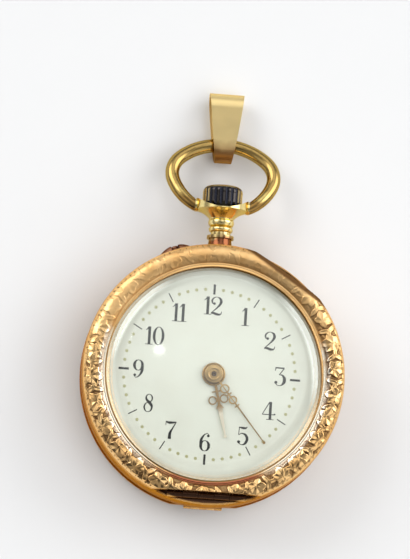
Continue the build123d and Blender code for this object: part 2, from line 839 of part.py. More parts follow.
with BuildPart() as pendant_neck:
    with BuildSketch(Plane.XY.offset(stem_height)):
        with BuildLine():
            bead_low = bead_y - bead_width / 2
            bead_high = bead_y + bead_width / 2
            ring_low = ring_y - ring_width / 2
            ring_high = ring_y + ring_width / 2
            collar_low = neck_waist_y
            collar_high = neck_waist_y + collar_width
            Polyline((neck_bore_radius, movement_radius + fit_gap), (tenon_radius, movement_radius + fit_gap),
                     (tenon_radius, pendant_base_y), (neck_base_radius, pendant_base_y))
            ThreePointArc((neck_base_radius, pendant_base_y),
                          (neck_waist_radius + fit_gap, (pendant_base_y + neck_waist_y) / 2),
                          (neck_waist_radius, neck_waist_y))
            Polyline((neck_waist_radius, collar_low), (collar_radius, collar_low),
                     (collar_radius, collar_high), (bead_root_radius, collar_high),
                     (bead_root_radius, bead_low))
            ThreePointArc((bead_root_radius, bead_low), (bead_radius, bead_y), (bead_root_radius, bead_high))
            Line((bead_root_radius, bead_high), (ring_radius - fit_gap, ring_low))
            ThreePointArc((ring_radius - fit_gap, ring_low), (ring_radius, ring_y),
                          (ring_radius - fit_gap, ring_high))
            Polyline((ring_radius - fit_gap, ring_high), (cup_foot_radius, cup_foot_y))
            cup_mid = ((cup_foot_radius + cup_radius) / 2 - fit_gap,
                       (cup_foot_y + cup_corner_y) / 2 + fit_gap)
            ThreePointArc((cup_foot_radius, cup_foot_y), cup_mid, (cup_radius, cup_corner_y))
            Polyline((cup_radius, cup_corner_y), (cup_radius, cup_rim_y), (cup_radius - cup_wall, cup_rim_y),
                     (cup_radius - cup_wall, cup_floor_y), (neck_bore_radius, cup_floor_y),
                     (neck_bore_radius, movement_radius + fit_gap))
        make_face()
    revolve(axis=Axis(origin=(0, 0, stem_height), direction=(0, 1, 0)))
    for side in (-1, 1):
        with BuildSketch(across_at(side * (cup_radius - cup_wall / 2), pivot_y, stem_height)):
            Circle(ear_radius)
        extrude(amount=side * (ear_reach - cup_radius + cup_wall / 2))
    # The rim dips at front and back, which gives the cup a boat's outline
    dip_radius = (cup_radius ** 2 + cup_dip ** 2) / (2 * cup_dip)
    with BuildSketch(Plane.XY):
        with Locations((0, cup_rim_y - cup_dip + dip_radius)):
            Circle(dip_radius)
    extrude(amount=stem_height + 2 * cup_radius, mode=Mode.SUBTRACT)
    disc(across_at(-ear_reach, pivot_y, stem_height), bow_screw_radius, cup_wall, Mode.SUBTRACT)
    disc(across_at(ear_reach - cup_wall, pivot_y, stem_height), bow_screw_radius, cup_wall, Mode.SUBTRACT)
finish(pendant_neck, "pendant_neck")

with BuildPart() as crown:
    with BuildSketch(Plane.XY.offset(stem_height)):
        with BuildLine():
            crown_top = crown_bottom_y + crown_height
            bulge_high = (crown_radius, crown_top - crown_shoulder)
            dome_start = (crown_radius - crown_shoulder_width, crown_top)
            shoulder_mid = (crown_radius - (1 - crown_shoulder_share) * crown_shoulder_width,
                            crown_top - (1 - crown_shoulder_share) * crown_shoulder)
            # The dome's arc has its centre on the stem's axis
            dome_sphere = (dome_start[0] ** 2 + crown_dome ** 2) / (2 * crown_dome)
            dome_drop = dome_sphere - sqrt(dome_sphere ** 2 - (dome_start[0] / 2) ** 2)
            dome_mid = (dome_start[0] / 2, crown_top + crown_dome - dome_drop)
            socket_top = crown_top - stem_end_depth
            Polyline((stem_radius, crown_bottom_y), (crown_end_radius, crown_bottom_y),
                     (crown_radius, crown_bottom_y + crown_taper), bulge_high)
            ThreePointArc(bulge_high, shoulder_mid, dome_start)
            ThreePointArc(dome_start, dome_mid, (0, crown_top + crown_dome))
            Polyline((0, crown_top + crown_dome), (0, socket_top), (stem_radius, socket_top),
                     (stem_radius, crown_bottom_y))
        make_face()
    revolve(axis=Axis(origin=(0, 0, stem_height), direction=(0, 1, 0)))
    with BuildSketch(along_stem(crown_bottom_y - overrun)):
        with PolarLocations(crown_radius + crown_flute_offset, crown_flutes):
            Circle(crown_flute_radius)
    extrude(amount=crown_height + 2 * overrun, mode=Mode.SUBTRACT)
finish(crown, "crown")


# Bow: a tapered wire bent to an oval, hinged on the pendant's ears

bow_drop = asin((stem_height - bail_wall - bow_wire_radius - bail_clearance) / bow_length)
wire_y = pivot_y + bow_length * cos(bow_drop)
bow_plane = Plane(origin=(0, pivot_y, stem_height), x_dir=(1, 0, 0), z_dir=(0, sin(bow_drop), cos(bow_drop)))
bow_foot = ear_reach + running_gap
arch_height = bow_length - bow_widest
side_centre = bow_half_width - bow_side_radius
arch_radius = ((side_centre ** 2 + arch_height ** 2 - bow_side_radius ** 2)
               / (2 * (arch_height - bow_side_radius)))
arch_centre = bow_length - arch_radius
arch_angle = degrees(atan2(bow_widest - arch_centre, side_centre))
# Each leg is an arc that leaves the side arc without a corner and ends on the ear's axis
leg_way = (cos(radians(bow_leg_angle)), -sin(radians(bow_leg_angle)))
leg_top = (side_centre + bow_side_radius * leg_way[0], bow_widest + bow_side_radius * leg_way[1])
leg_span = (leg_top[0] - bow_foot, leg_top[1])
leg_radius = ((leg_span[0] ** 2 + leg_span[1] ** 2)
              / (2 * (leg_way[0] * leg_span[0] + leg_way[1] * leg_span[1])))
leg_centre = (leg_top[0] - leg_radius * leg_way[0], leg_top[1] - leg_radius * leg_way[1])
foot_angle = degrees(atan2(leg_centre[1], bow_foot - leg_centre[0]))
leg_length = leg_radius * radians(foot_angle - bow_leg_angle)
with BuildPart() as bow:
    with BuildLine(bow_plane) as bow_path:
        toe = (bow_foot - bow_wire_radius * sin(radians(foot_angle)),
               -bow_wire_radius * cos(radians(foot_angle)))
        Line(toe, (bow_foot, 0))
        CenterArc(leg_centre, leg_radius, -foot_angle, foot_angle - bow_leg_angle)
        CenterArc((side_centre, bow_widest), bow_side_radius, -bow_leg_angle, bow_leg_angle + arch_angle)
        CenterArc((0, arch_centre), arch_radius, arch_angle, 180 - 2 * arch_angle)
        CenterArc((-side_centre, bow_widest), bow_side_radius, 180 - arch_angle, arch_angle + bow_leg_angle)
        CenterArc((-leg_centre[0], leg_centre[1]), leg_radius, 180 + bow_leg_angle,
                  foot_angle - bow_leg_angle)
        Line((-bow_foot, 0), (-toe[0], toe[1]))
    bow_wire = bow_path.wire()
    leg_share = (bow_wire_radius + leg_length) / bow_wire.length
    for share, wire_radius in ((0, bow_end_radius), (leg_share, bow_wire_radius), (1 / 2, bow_wire_radius),
                               (1 - leg_share, bow_wire_radius), (1, bow_end_radius)):
        with BuildSketch(Plane(origin=bow_wire @ share, z_dir=bow_wire % share)):
            Circle(wire_radius)
    sweep(path=bow_wire, multisection=True)
    for side in (-1, 1):
        # The wire's end is dressed flat against the ear and drilled for its pivot
        with BuildSketch(across_at(side * bow_foot, pivot_y, stem_height)):
            Circle(2 * bow_wire_radius)
        extrude(amount=-side * bow_foot, mode=Mode.SUBTRACT)
        with BuildSketch(across_at(side * bow_foot, pivot_y, stem_height)):
            Circle(bow_screw_radius + running_gap)
        extrude(amount=side * (bow_screw_depth + running_gap), mode=Mode.SUBTRACT)
finish(bow, "bow")

with BuildPart() as bow_screws:
    for side in (-1, 1):
        screw_inner = ear_reach - cup_wall
        with BuildSketch(across_at(side * screw_inner, pivot_y, stem_height)):
            Circle(bow_screw_radius)
        extrude(amount=side * (bow_foot + bow_screw_depth - screw_inner))
finish(bow_screws, "bow_screws")

with BuildPart() as bail:
    bail_low_radius = bow_wire_radius + bail_clearance
    low_centre = (wire_y - bail_foot, bail_low_radius + bail_wall)
    top_centre = (bail_top_y - bail_top_radius - bail_wall, bail_top_radius + bail_wall)
    with BuildSketch(Plane.YZ):
        with Locations(low_centre):
            Circle(bail_low_radius + bail_wall)
        with Locations(top_centre):
            Circle(bail_top_radius + bail_wall)
        make_hull()
    extrude(amount=bail_top_width, both=True)
    # Inside, the loop is round about the bow's wire, so its foot is thicker than its sides
    with BuildSketch(Plane.YZ):
        with Locations((wire_y, low_centre[1])):
            Circle(bail_low_radius)
        with Locations(top_centre):
            Circle(bail_top_radius)
        make_hull()
    extrude(amount=bail_top_width, both=True, mode=Mode.SUBTRACT)
    with BuildSketch(Plane.XY):
        bail_bottom_y = low_centre[0] - bail_low_radius - bail_wall - fit_gap
        bail_end_y = bail_top_y + fit_gap
        bail_middle_y = bail_bottom_y + (bail_end_y - bail_bottom_y) * bail_middle_share
        with BuildLine():
            ThreePointArc((bail_bottom_width / 2, bail_bottom_y), (bail_middle_width / 2, bail_middle_y),
                          (bail_top_width / 2, bail_end_y))
            Line((bail_top_width / 2, bail_end_y), (-bail_top_width / 2, bail_end_y))
            ThreePointArc((-bail_top_width / 2, bail_end_y), (-bail_middle_width / 2, bail_middle_y),
                          (-bail_bottom_width / 2, bail_bottom_y))
            Line((-bail_bottom_width / 2, bail_bottom_y), (bail_bottom_width / 2, bail_bottom_y))
        make_face()
    extrude(amount=3 * (bail_top_radius + bail_wall), mode=Mode.INTERSECT)
finish(bail, "bail")


# Push piece and the two mounds that guard it

with BuildPart() as setting_guards:
    with BuildSketch(Plane(origin=polar(origin_point, guard_root, push_angle) + (stem_height - guard_height / 2,),
                           x_dir=(sin(radians(push_angle)), -cos(radians(push_angle)), 0), z_dir=(0, 0, 1))):
        with BuildLine():
            ThreePointArc((-guard_length / 2, guard_toe), (0, guard_reach), (guard_length / 2, guard_toe))
            Polyline((guard_length / 2, guard_toe), (guard_length / 2, -guard_inset),
                     (-guard_length / 2, -guard_inset), (-guard_length / 2, guard_toe))
        make_face()
    extrude(amount=guard_height)
    fillet(setting_guards.edges().filter_by(GeomType.CIRCLE), guard_rounding)
    with BuildSketch(radial_at(push_angle, guard_root, stem_height)):
        Rectangle(2 * (push_radius + running_gap), guard_height + overrun)
    extrude(amount=guard_reach, mode=Mode.SUBTRACT)
    # The underside follows the band
    with BuildSketch(Plane.XZ):
        with BuildLine():
            ThreePointArc(
                (band_radius, band_top),
                (band_radius + band_bulge, (band_top + band_bottom) / 2),
                (band_radius, band_bottom),
            )
            Polyline((band_radius, band_bottom), (0, band_bottom), (0, band_top), (band_radius, band_top))
        make_face()
    revolve(axis=Axis.Z, mode=Mode.SUBTRACT)
finish(setting_guards, "setting_guards")

with BuildPart() as set_pin:
    disc(radial_at(push_angle, push_inner, stem_height), push_radius, push_reach - push_inner)
    disc(radial_at(push_angle, push_inner, stem_height), push_flange_radius, push_flange)
    outward = Axis((0, 0, 0), (cos(radians(push_angle)), sin(radians(push_angle)), 0))
    fillet(set_pin.faces().sort_by(outward)[-1].edges(), push_radius / 2)
finish(set_pin, "set_pin")


# Places of the train, worked out from the tooth counts

centre_axis = (0.0, 0.0)
barrel_distance = barrel_module * (barrel_teeth + centre_leaves) / 2
third_distance = centre_module * (centre_teeth + third_leaves) / 2
fourth_distance = third_module * (third_teeth + fourth_leaves) / 2
escape_distance = fourth_module * (fourth_teeth + escape_leaves) / 2
barrel_axis = polar(centre_axis, barrel_distance, barrel_angle)
balance_axis = polar(centre_axis, balance_distance, balance_angle)
escape_axis = polar(balance_axis, escape_radius, escape_from_balance)
fourth_axis = polar(escape_axis, escape_distance, fourth_from_escape)
fourth_reach = spacing(centre_axis, fourth_axis)
third_corner = degrees(acos((fourth_reach ** 2 + third_distance ** 2 - fourth_distance ** 2)
                            / (2 * fourth_reach * third_distance)))
third_axis = polar(centre_axis, third_distance, heading(centre_axis, fourth_axis) + third_corner)
winding_distance = winding_module * (ratchet_teeth + crown_wheel_teeth) / 2
crown_wheel_axis = (0.0, barrel_axis[1] + sqrt(winding_distance ** 2 - barrel_axis[0] ** 2))
minute_distance = minute_module * (cannon_teeth + minute_teeth) / 2
hour_module = 2 * minute_distance / (minute_leaves + hour_teeth)
minute_axis = (0.0, minute_distance)
setting_axis = (0.0, minute_distance + minute_module * (minute_teeth + setting_teeth) / 2)
crown_wheel_radius = winding_module * crown_wheel_teeth / 2
winding_pinion_y = crown_wheel_axis[1] + crown_wheel_radius
stem_inner_y = clutch_y - clutch_width / 2 - clutch_room
stem_tip_y = stem_inner_y - stem_radius
ratchet_tip = winding_module * (ratchet_teeth / 2 + addendum_share)
click_pivot = polar(barrel_axis, ratchet_tip + click_offset, click_angle)
lever_pivot = polar(centre_axis, lever_radius, lever_angle)
lever_touch = polar(centre_axis, push_inner - lever_touch_gap - lever_waist, push_angle)
lever_fork = (-(clutch_radius + clutch_groove_radius) / 2, clutch_y)

bridge_feet = {key: polar(centre_axis, *place) for key, place in foot_places.items()}


# Train: barrel to escape wheel, each wheel on its own arbor

toward_centre = heading(barrel_axis, centre_axis)
toward_third = heading(centre_axis, third_axis)
toward_fourth = heading(third_axis, fourth_axis)
toward_escape = heading(fourth_axis, escape_axis)


def pinion_phase(direction, leaves):
    """Leaf angle that puts a gap where the driving wheel's tooth points."""
    return direction + 180 + 180 / leaves


barrel_root = barrel_module * (barrel_teeth / 2 - dedendum_share)
with BuildPart() as barrel:
    toothed(flat_at(barrel_axis, barrel_top - barrel_gear_height), barrel_teeth, barrel_module,
            barrel_gear_height, toward_centre)
    disc(flat_at(barrel_axis, barrel_bottom), barrel_root - fit_gap, barrel_top - barrel_bottom)
    disc(flat_at(barrel_axis, barrel_bottom), barrel_root - barrel_wall - fit_gap,
         barrel_top - barrel_bottom - barrel_floor, Mode.SUBTRACT)
    disc(flat_at(barrel_axis, barrel_bottom), barrel_arbor_radius / 2 + running_gap,
         barrel_top - barrel_bottom, Mode.SUBTRACT)
finish(barrel, "barrel")

with BuildPart() as barrel_cover:
    ring(flat_at(barrel_axis, barrel_bottom), barrel_root - barrel_wall - fit_gap,
         barrel_arbor_radius / 2 + running_gap, barrel_lid)
finish(barrel_cover, "barrel_cover")

with BuildPart() as barrel_arbor:
    disc(flat_at(barrel_axis, barrel_bottom + barrel_lid + running_gap), barrel_arbor_radius,
         barrel_top - barrel_bottom - barrel_lid - barrel_floor - 2 * running_gap)
    disc(flat_at(barrel_axis, bridge_bottom - winding_wheel_height), barrel_arbor_radius / 2,
         plate_bottom + screw_depth - bridge_bottom + winding_wheel_height)
    disc(flat_at(barrel_axis, bridge_bottom - winding_wheel_height), screw_radius, screw_depth, Mode.SUBTRACT)
finish(barrel_arbor, "barrel_arbor")


def spiral(centre, level, inner, outer, turns, strip, height, start):
    """A flat coiled strip from half-circle arcs whose centres step from side to side."""
    halves = round(2 * turns)
    step = (outer - inner) / halves
    turn = radians(start)
    along = (cos(turn), sin(turn))
    with BuildSketch(flat_at(centre, level)) as face:
        with BuildLine():
            for side in (-1, 1):
                for index in range(halves):
                    radius = inner + (index + 0.5) * step + side * strip / 2
                    sign = 1 if index % 2 == 0 else -1
                    shift = 0.5 * step * sign
                    middle = (-along[0] * shift, -along[1] * shift)
                    begin = start if sign > 0 else start + 180
                    CenterArc(middle, radius, begin, 180)
            last_angle = start + 180 * halves
            for radius, angle in ((inner, start), (outer, last_angle)):
                Line(polar(origin_point, radius - strip / 2, angle),
                     polar(origin_point, radius + strip / 2, angle))
        make_face()
    extrude(to_extrude=face.sketch, amount=height)
    print("coil of", turns, "turns, least gap to itself", round(2 * step - strip, 3), "mm")


with BuildPart() as mainspring:
    spring_out = barrel_root - barrel_wall - fit_gap - spring_inset
    spring_bottom = barrel_bottom + barrel_lid + spring_inset
    spiral(barrel_axis, spring_bottom, barrel_arbor_radius + spring_inset + spring_strip, spring_out,
           spring_turns, spring_strip, barrel_top - barrel_floor - spring_inset - spring_bottom, 0)
finish(mainspring, "mainspring")

winding_bottom = bridge_bottom - winding_wheel_height
toward_crown_wheel = heading(barrel_axis, crown_wheel_axis)
with BuildPart() as ratchet_wheel:
    toothed(flat_at(barrel_axis, winding_bottom), ratchet_teeth, winding_module,
            winding_wheel_height - running_gap, toward_crown_wheel)
    disc(flat_at(barrel_axis, winding_bottom), barrel_arbor_radius / 2, winding_wheel_height, Mode.SUBTRACT)
finish(ratchet_wheel, "ratchet_wheel")

with BuildPart() as crown_wheel:
    toothed(flat_at(crown_wheel_axis, winding_bottom), crown_wheel_teeth, winding_module,
            winding_wheel_height - running_gap, pinion_phase(toward_crown_wheel, crown_wheel_teeth))
    disc(flat_at(crown_wheel_axis, winding_bottom), winding_hub_radius + running_gap,
         winding_wheel_height, Mode.SUBTRACT)
finish(crown_wheel, "crown_wheel")


def slotted_screw(point, head_bottom, head_radius, head, shank_radius, shank):
    """A cheese-head screw driven from the back, with its slot."""
    disc(flat_at(point, head_bottom), head_radius, head)
    disc(flat_at(point, head_bottom + head), shank_radius, shank)
    block(flat_at(point, head_bottom), 2 * head_radius + overrun, screw_slot, head / 2, Mode.SUBTRACT)


with BuildPart() as ratchet_screw:
    slotted_screw(barrel_axis, winding_bottom - screw_head, winding_screw_head_radius, screw_head,
                  screw_radius, screw_depth)
finish(ratchet_screw, "ratchet_screw")

with BuildPart() as crown_wheel_screw:
    slotted_screw(crown_wheel_axis, winding_bottom - screw_head, winding_screw_head_radius, screw_head,
                  screw_radius, screw_depth)
finish(crown_wheel_screw, "crown_wheel_screw")

pinion_module = winding_pinion_radius / (winding_pinion_teeth / 2 + addendum_share)
with BuildPart() as winding_pinion:
    toothed(along_stem(winding_pinion_y - winding_pinion_width / 2), winding_pinion_teeth, pinion_module,
            winding_pinion_width)
    disc(along_stem(winding_pinion_y - winding_pinion_width / 2), stem_radius, winding_pinion_width,
         Mode.SUBTRACT)
finish(winding_pinion, "winding_pinion")

with BuildPart() as winding_stem:
    disc(along_stem(stem_tip_y), stem_radius / 2, stem_inner_y - stem_tip_y)
    square_end = winding_pinion_y - winding_pinion_width / 2 - fit_gap
    block(along_stem(stem_inner_y + fit_gap), clutch_square, clutch_square,
          square_end - stem_inner_y - fit_gap)
    disc(along_stem(square_end), stem_radius, crown_bottom_y + crown_height - stem_end_depth - square_end)
    disc(along_stem(stem_inner_y - running_gap), stem_radius / 2, 2 * fit_gap)
finish(winding_stem, "winding_stem")

with BuildPart() as sliding_clutch:
    clutch_start = clutch_y - clutch_width / 2
    disc(along_stem(clutch_start), clutch_radius, clutch_width)
    ring(along_stem(clutch_y - clutch_groove_width / 2), clutch_radius + overrun, clutch_groove_radius,
         clutch_groove_width, Mode.SUBTRACT)
    block(along_stem(clutch_start), clutch_square + running_gap, clutch_square + running_gap, clutch_width,
          Mode.SUBTRACT)
finish(sliding_clutch, "sliding_clutch")

with BuildPart() as setting_lever:
    bar(lever_bottom, lever_thickness, lever_pivot, lever_boss, lever_fork, lever_tip)
    bar(lever_bottom, lever_thickness, lever_pivot, lever_boss, lever_touch, lever_waist)
    disc(flat_at(lever_pivot, lever_bottom), screw_radius + running_gap, lever_thickness, Mode.SUBTRACT)
finish(setting_lever, "setting_lever")

train_wheel("centre_wheel", centre_axis, centre_level, centre_teeth, centre_module, toward_third,
            centre_arbor_radius)
train_wheel("third_wheel", third_axis, third_level, third_teeth, third_module, toward_fourth,
            wheel_seat_radius)
train_wheel("fourth_wheel", fourth_axis, fourth_level, fourth_teeth, fourth_module, toward_escape,
            wheel_seat_radius)

jewel_low = bridge_top - jewel_thickness
shoulder_low = bridge_top + running_gap
shoulder_high = plate_bottom - running_gap
pivot_high = plate_bottom + jewel_thickness
train_arbor("centre_arbor", centre_axis,
            ((bridge_bottom + fit_gap, shoulder_low, arbor_radius),
             (shoulder_low, shoulder_high, centre_arbor_radius),
             (shoulder_high, cannon_top, centre_post_radius)),
            centre_leaves, barrel_module, pinion_phase(toward_centre, centre_leaves),
            barrel_top - barrel_gear_height - leaf_gap, shoulder_high)
train_arbor("third_arbor", third_axis,
            ((jewel_low, shoulder_low, pivot_radius),
             (shoulder_low, third_level, arbor_radius),
             (third_level, third_level + wheel_plate, wheel_seat_radius),
             (third_level + wheel_plate, shoulder_high, arbor_radius),
             (shoulder_high, pivot_high, pivot_radius)),
            third_leaves, centre_module, pinion_phase(toward_third, third_leaves),
            centre_level - running_gap, centre_level + third_leaf_height)
train_arbor("fourth_arbor", fourth_axis,
            ((jewel_low, shoulder_low, pivot_radius),
             (shoulder_low, fourth_level, arbor_radius),
             (fourth_level, fourth_level + wheel_plate, wheel_seat_radius),
             (fourth_level + wheel_plate, shoulder_high, arbor_radius),
             (shoulder_high, pivot_high, pivot_radius)),
            fourth_leaves, third_module, pinion_phase(toward_fourth, fourth_leaves),
            fourth_level + wheel_plate, shoulder_high)

escape_cock_bottom = bridge_top + 2 * fit_gap
escape_cock_thickness = bridge_thickness - 2 * fit_gap
escape_cock_top = escape_cock_bottom + escape_cock_thickness
sink_floor = plate_bottom + escape_sink
train_arbor("escape_arbor", escape_axis,
            ((escape_cock_top - jewel_thickness, escape_cock_top + running_gap, pivot_radius),
             (escape_cock_top + running_gap, escape_level, arbor_radius),
             (escape_level, escape_level + wheel_plate, wheel_seat_radius),
             (escape_level + wheel_plate, sink_floor - running_gap, arbor_radius),
             (sink_floor - running_gap, sink_floor + jewel_thickness, pivot_radius)),
            escape_leaves, fourth_module, pinion_phase(toward_escape, escape_leaves),
            escape_cock_top + running_gap, fourth_level + 2 * wheel_plate)

escape_tip = escape_radius - staff_radius - running_gap
escape_root = escape_tip * escape_root_share
with BuildPart() as escape_wheel:
    with BuildSketch(flat_at(escape_axis, escape_level)):
        with BuildLine():
            escape_points = []
            for tooth in range(escape_teeth):
                start = tooth * 360 / escape_teeth
                radii = (escape_root, escape_tip, escape_tip, escape_root)
                for radius, share in zip(radii, escape_tooth_shares):
                    escape_points.append(polar(origin_point, radius, start + share * 360 / escape_teeth))
            Polyline(*escape_points, close=True)
        make_face()
    extrude(amount=wheel_plate)
    windows(flat_at(escape_axis, escape_level), escape_root * wheel_rim_share, escape_hub_radius, wheel_arms,
            escape_root * wheel_arm_share, wheel_plate)
    disc(flat_at(escape_axis, escape_level), wheel_seat_radius, wheel_plate, Mode.SUBTRACT)
finish(escape_wheel, "escape_wheel")

with BuildPart() as balance_wheel:
    ring(flat_at(balance_axis, balance_level), balance_radius, balance_radius - balance_rim, balance_height)
    with BuildSketch(flat_at(balance_axis, balance_level)):
        Rectangle(2 * balance_radius - balance_rim, balance_arm)
        Circle(balance_hub_radius)
        Circle(staff_radius, mode=Mode.SUBTRACT)
    extrude(amount=balance_height / 2)
    for index in range(balance_screws):
        screw_angle = (index + 0.5) * 360 / balance_screws
        turn = radians(screw_angle)
        rim_point = polar(balance_axis, balance_radius - balance_rim / 2, screw_angle)
        disc(Plane(origin=rim_point + (balance_level + balance_height / 2,), z_dir=(cos(turn), sin(turn), 0)),
             balance_screw_radius, balance_rim / 2 + balance_screw_length)
finish(balance_wheel, "balance_wheel")

balance_cock_top = balance_cock_bottom + balance_cock_thickness
with BuildPart() as balance_staff:
    staff_low = balance_cock_top + running_gap
    staff_high = sink_floor - running_gap
    disc(flat_at(balance_axis, balance_cock_top - jewel_thickness), pivot_radius,
         sink_floor - balance_cock_top + 2 * jewel_thickness)
    disc(flat_at(balance_axis, staff_low), staff_radius, staff_high - staff_low)
    disc(flat_at(balance_axis, staff_low), hairspring_inner - 2 * hairspring_strip, hairspring_height)
finish(balance_staff, "balance_staff")

with BuildPart() as hairspring:
    spiral(balance_axis, staff_low, hairspring_inner, hairspring_outer, hairspring_turns, hairspring_strip,
           hairspring_height, 180.0)
finish(hairspring, "hairspring")

stud_point = polar(balance_axis, hairspring_outer + stud_radius + fit_gap, 180.0)
with BuildPart() as hairspring_stud:
    disc(flat_at(stud_point, balance_cock_bottom), stud_radius,
         staff_low + hairspring_height - balance_cock_bottom)
finish(hairspring_stud, "hairspring_stud")


# Main plate, bridge and cocks

def screw_seat(point, level, down_to):
    """The counterbore and shank hole of a bridge screw, drilled from the back."""
    disc(flat_at(point, level), screw_head_radius + running_gap, screw_head, Mode.SUBTRACT)
    disc(flat_at(point, level), screw_radius, down_to - level, Mode.SUBTRACT)


def cock(name, foot, pivot, end_radius, bottom, thickness, hole):
    """A finger-shaped cock that stands on one foot and carries one pivot."""
    with BuildPart() as piece:
        bar(bottom, thickness, foot, foot_radius, pivot, end_radius)
        disc(flat_at(foot, bottom), foot_radius, plate_bottom - bottom)
        disc(flat_at(pivot, bottom), hole, thickness, Mode.SUBTRACT)
        screw_seat(foot, bottom, plate_bottom)
    finish(piece, name)


cock_end = 2 * jewel_radius
cock("centre_cock", bridge_feet["centre"], centre_axis, cock_end, bridge_bottom, bridge_thickness,
     arbor_radius + running_gap)
cock("third_cock", bridge_feet["third"], third_axis, cock_end, bridge_bottom, bridge_thickness, jewel_radius)
cock("fourth_cock", bridge_feet["fourth"], fourth_axis, cock_end, bridge_bottom, bridge_thickness,
     jewel_radius)
cock("escape_cock", bridge_feet["escape"], escape_axis, cock_end, escape_cock_bottom, escape_cock_thickness,
     jewel_radius)

with BuildPart() as balance_cock:
    foot = bridge_feet["balance"]
    bar(balance_cock_bottom, balance_cock_thickness, foot, balance_foot_radius, balance_axis, cock_end)
    disc(flat_at(foot, balance_cock_bottom), balance_post_radius, plate_bottom - balance_cock_bottom)
    disc(flat_at(balance_axis, balance_cock_bottom), jewel_radius, balance_cock_thickness, Mode.SUBTRACT)
    disc(flat_at(stud_point, balance_cock_bottom), stud_radius, balance_cock_thickness, Mode.SUBTRACT)
    screw_seat(foot, balance_cock_bottom, plate_bottom)
finish(balance_cock, "balance_cock")

with BuildPart() as regulator:
    regulator_bottom = balance_cock_bottom - regulator_thickness
    ring(flat_at(balance_axis, regulator_bottom), regulator_ring_radius, jewel_radius + running_gap,
         regulator_thickness)
    bar(regulator_bottom, regulator_thickness,
        polar(balance_axis, regulator_root_distance, regulator_angle), regulator_root_radius,
        polar(balance_axis, regulator_reach, regulator_angle), regulator_tip_radius)
finish(regulator, "regulator")

with BuildPart() as barrel_bridge:
    with BuildSketch(Plane.XY.offset(bridge_bottom)):
        with Locations(barrel_axis):
            Circle(bridge_circle)
        for key in ("barrel_a", "barrel_b", "barrel_c"):
            with Locations(bridge_feet[key]):
                Circle(foot_radius)
        make_hull()
        with Locations(centre_axis):
            Circle(cock_end + centre_cock_gap, mode=Mode.SUBTRACT)
        with Locations(barrel_axis):
            Circle(barrel_arbor_radius / 2 + running_gap, mode=Mode.SUBTRACT)
        with Locations((0, winding_pinion_y)):
            Rectangle(2 * winding_pinion_radius + bridge_window_gap, winding_pinion_width + bridge_window_gap,
                      mode=Mode.SUBTRACT)
    extrude(amount=bridge_thickness)
    # Trough over which the clutch slides
    trough_start = clutch_y - clutch_width / 2 - clutch_travel - fit_gap
    with BuildSketch(Plane.XY.offset(stem_height - clutch_radius - fit_gap)):
        with Locations((0, (trough_start + winding_pinion_y) / 2)):
            Rectangle(2 * (clutch_radius + fit_gap), winding_pinion_y - trough_start)
    extrude(amount=bridge_thickness, mode=Mode.SUBTRACT)
    for key in ("barrel_a", "barrel_b", "barrel_c"):
        disc(flat_at(bridge_feet[key], bridge_bottom), bridge_post_radius, plate_bottom - bridge_bottom)
        screw_seat(bridge_feet[key], bridge_bottom, plate_bottom)
    # Hub for the crown wheel and its screw hole
    disc(flat_at(crown_wheel_axis, winding_bottom), winding_hub_radius, winding_wheel_height)
    disc(flat_at(crown_wheel_axis, winding_bottom), screw_radius, screw_depth, Mode.SUBTRACT)
    disc(flat_at(click_pivot, bridge_bottom), screw_radius, screw_depth, Mode.SUBTRACT)
finish(barrel_bridge, "barrel_bridge")

with BuildPart() as click:
    nose = polar(barrel_axis, ratchet_tip + click_nose_radius + running_gap, click_angle - click_reach)
    bar(winding_bottom, winding_wheel_height - running_gap, click_pivot, screw_head_radius, nose,
        click_nose_radius)
    disc(flat_at(click_pivot, winding_bottom), screw_radius + running_gap, winding_wheel_height,
         Mode.SUBTRACT)
finish(click, "click")

spring_root = polar(click_pivot, click_spring_reach, heading(barrel_axis, click_pivot))
with BuildPart() as click_spring:
    # A stud on the bridge and a blade that presses on the outside of the click
    outward = heading(nose, click_pivot) + 90
    blade_end = polar(nose, click_nose_radius + click_spring_width / 2 + running_gap, outward + 180)
    disc(flat_at(spring_root, winding_bottom), click_spring_width, winding_wheel_height)
    bar(winding_bottom, winding_wheel_height / 2, spring_root, click_spring_width, blade_end,
        click_spring_width / 2)
finish(click_spring, "click_spring")

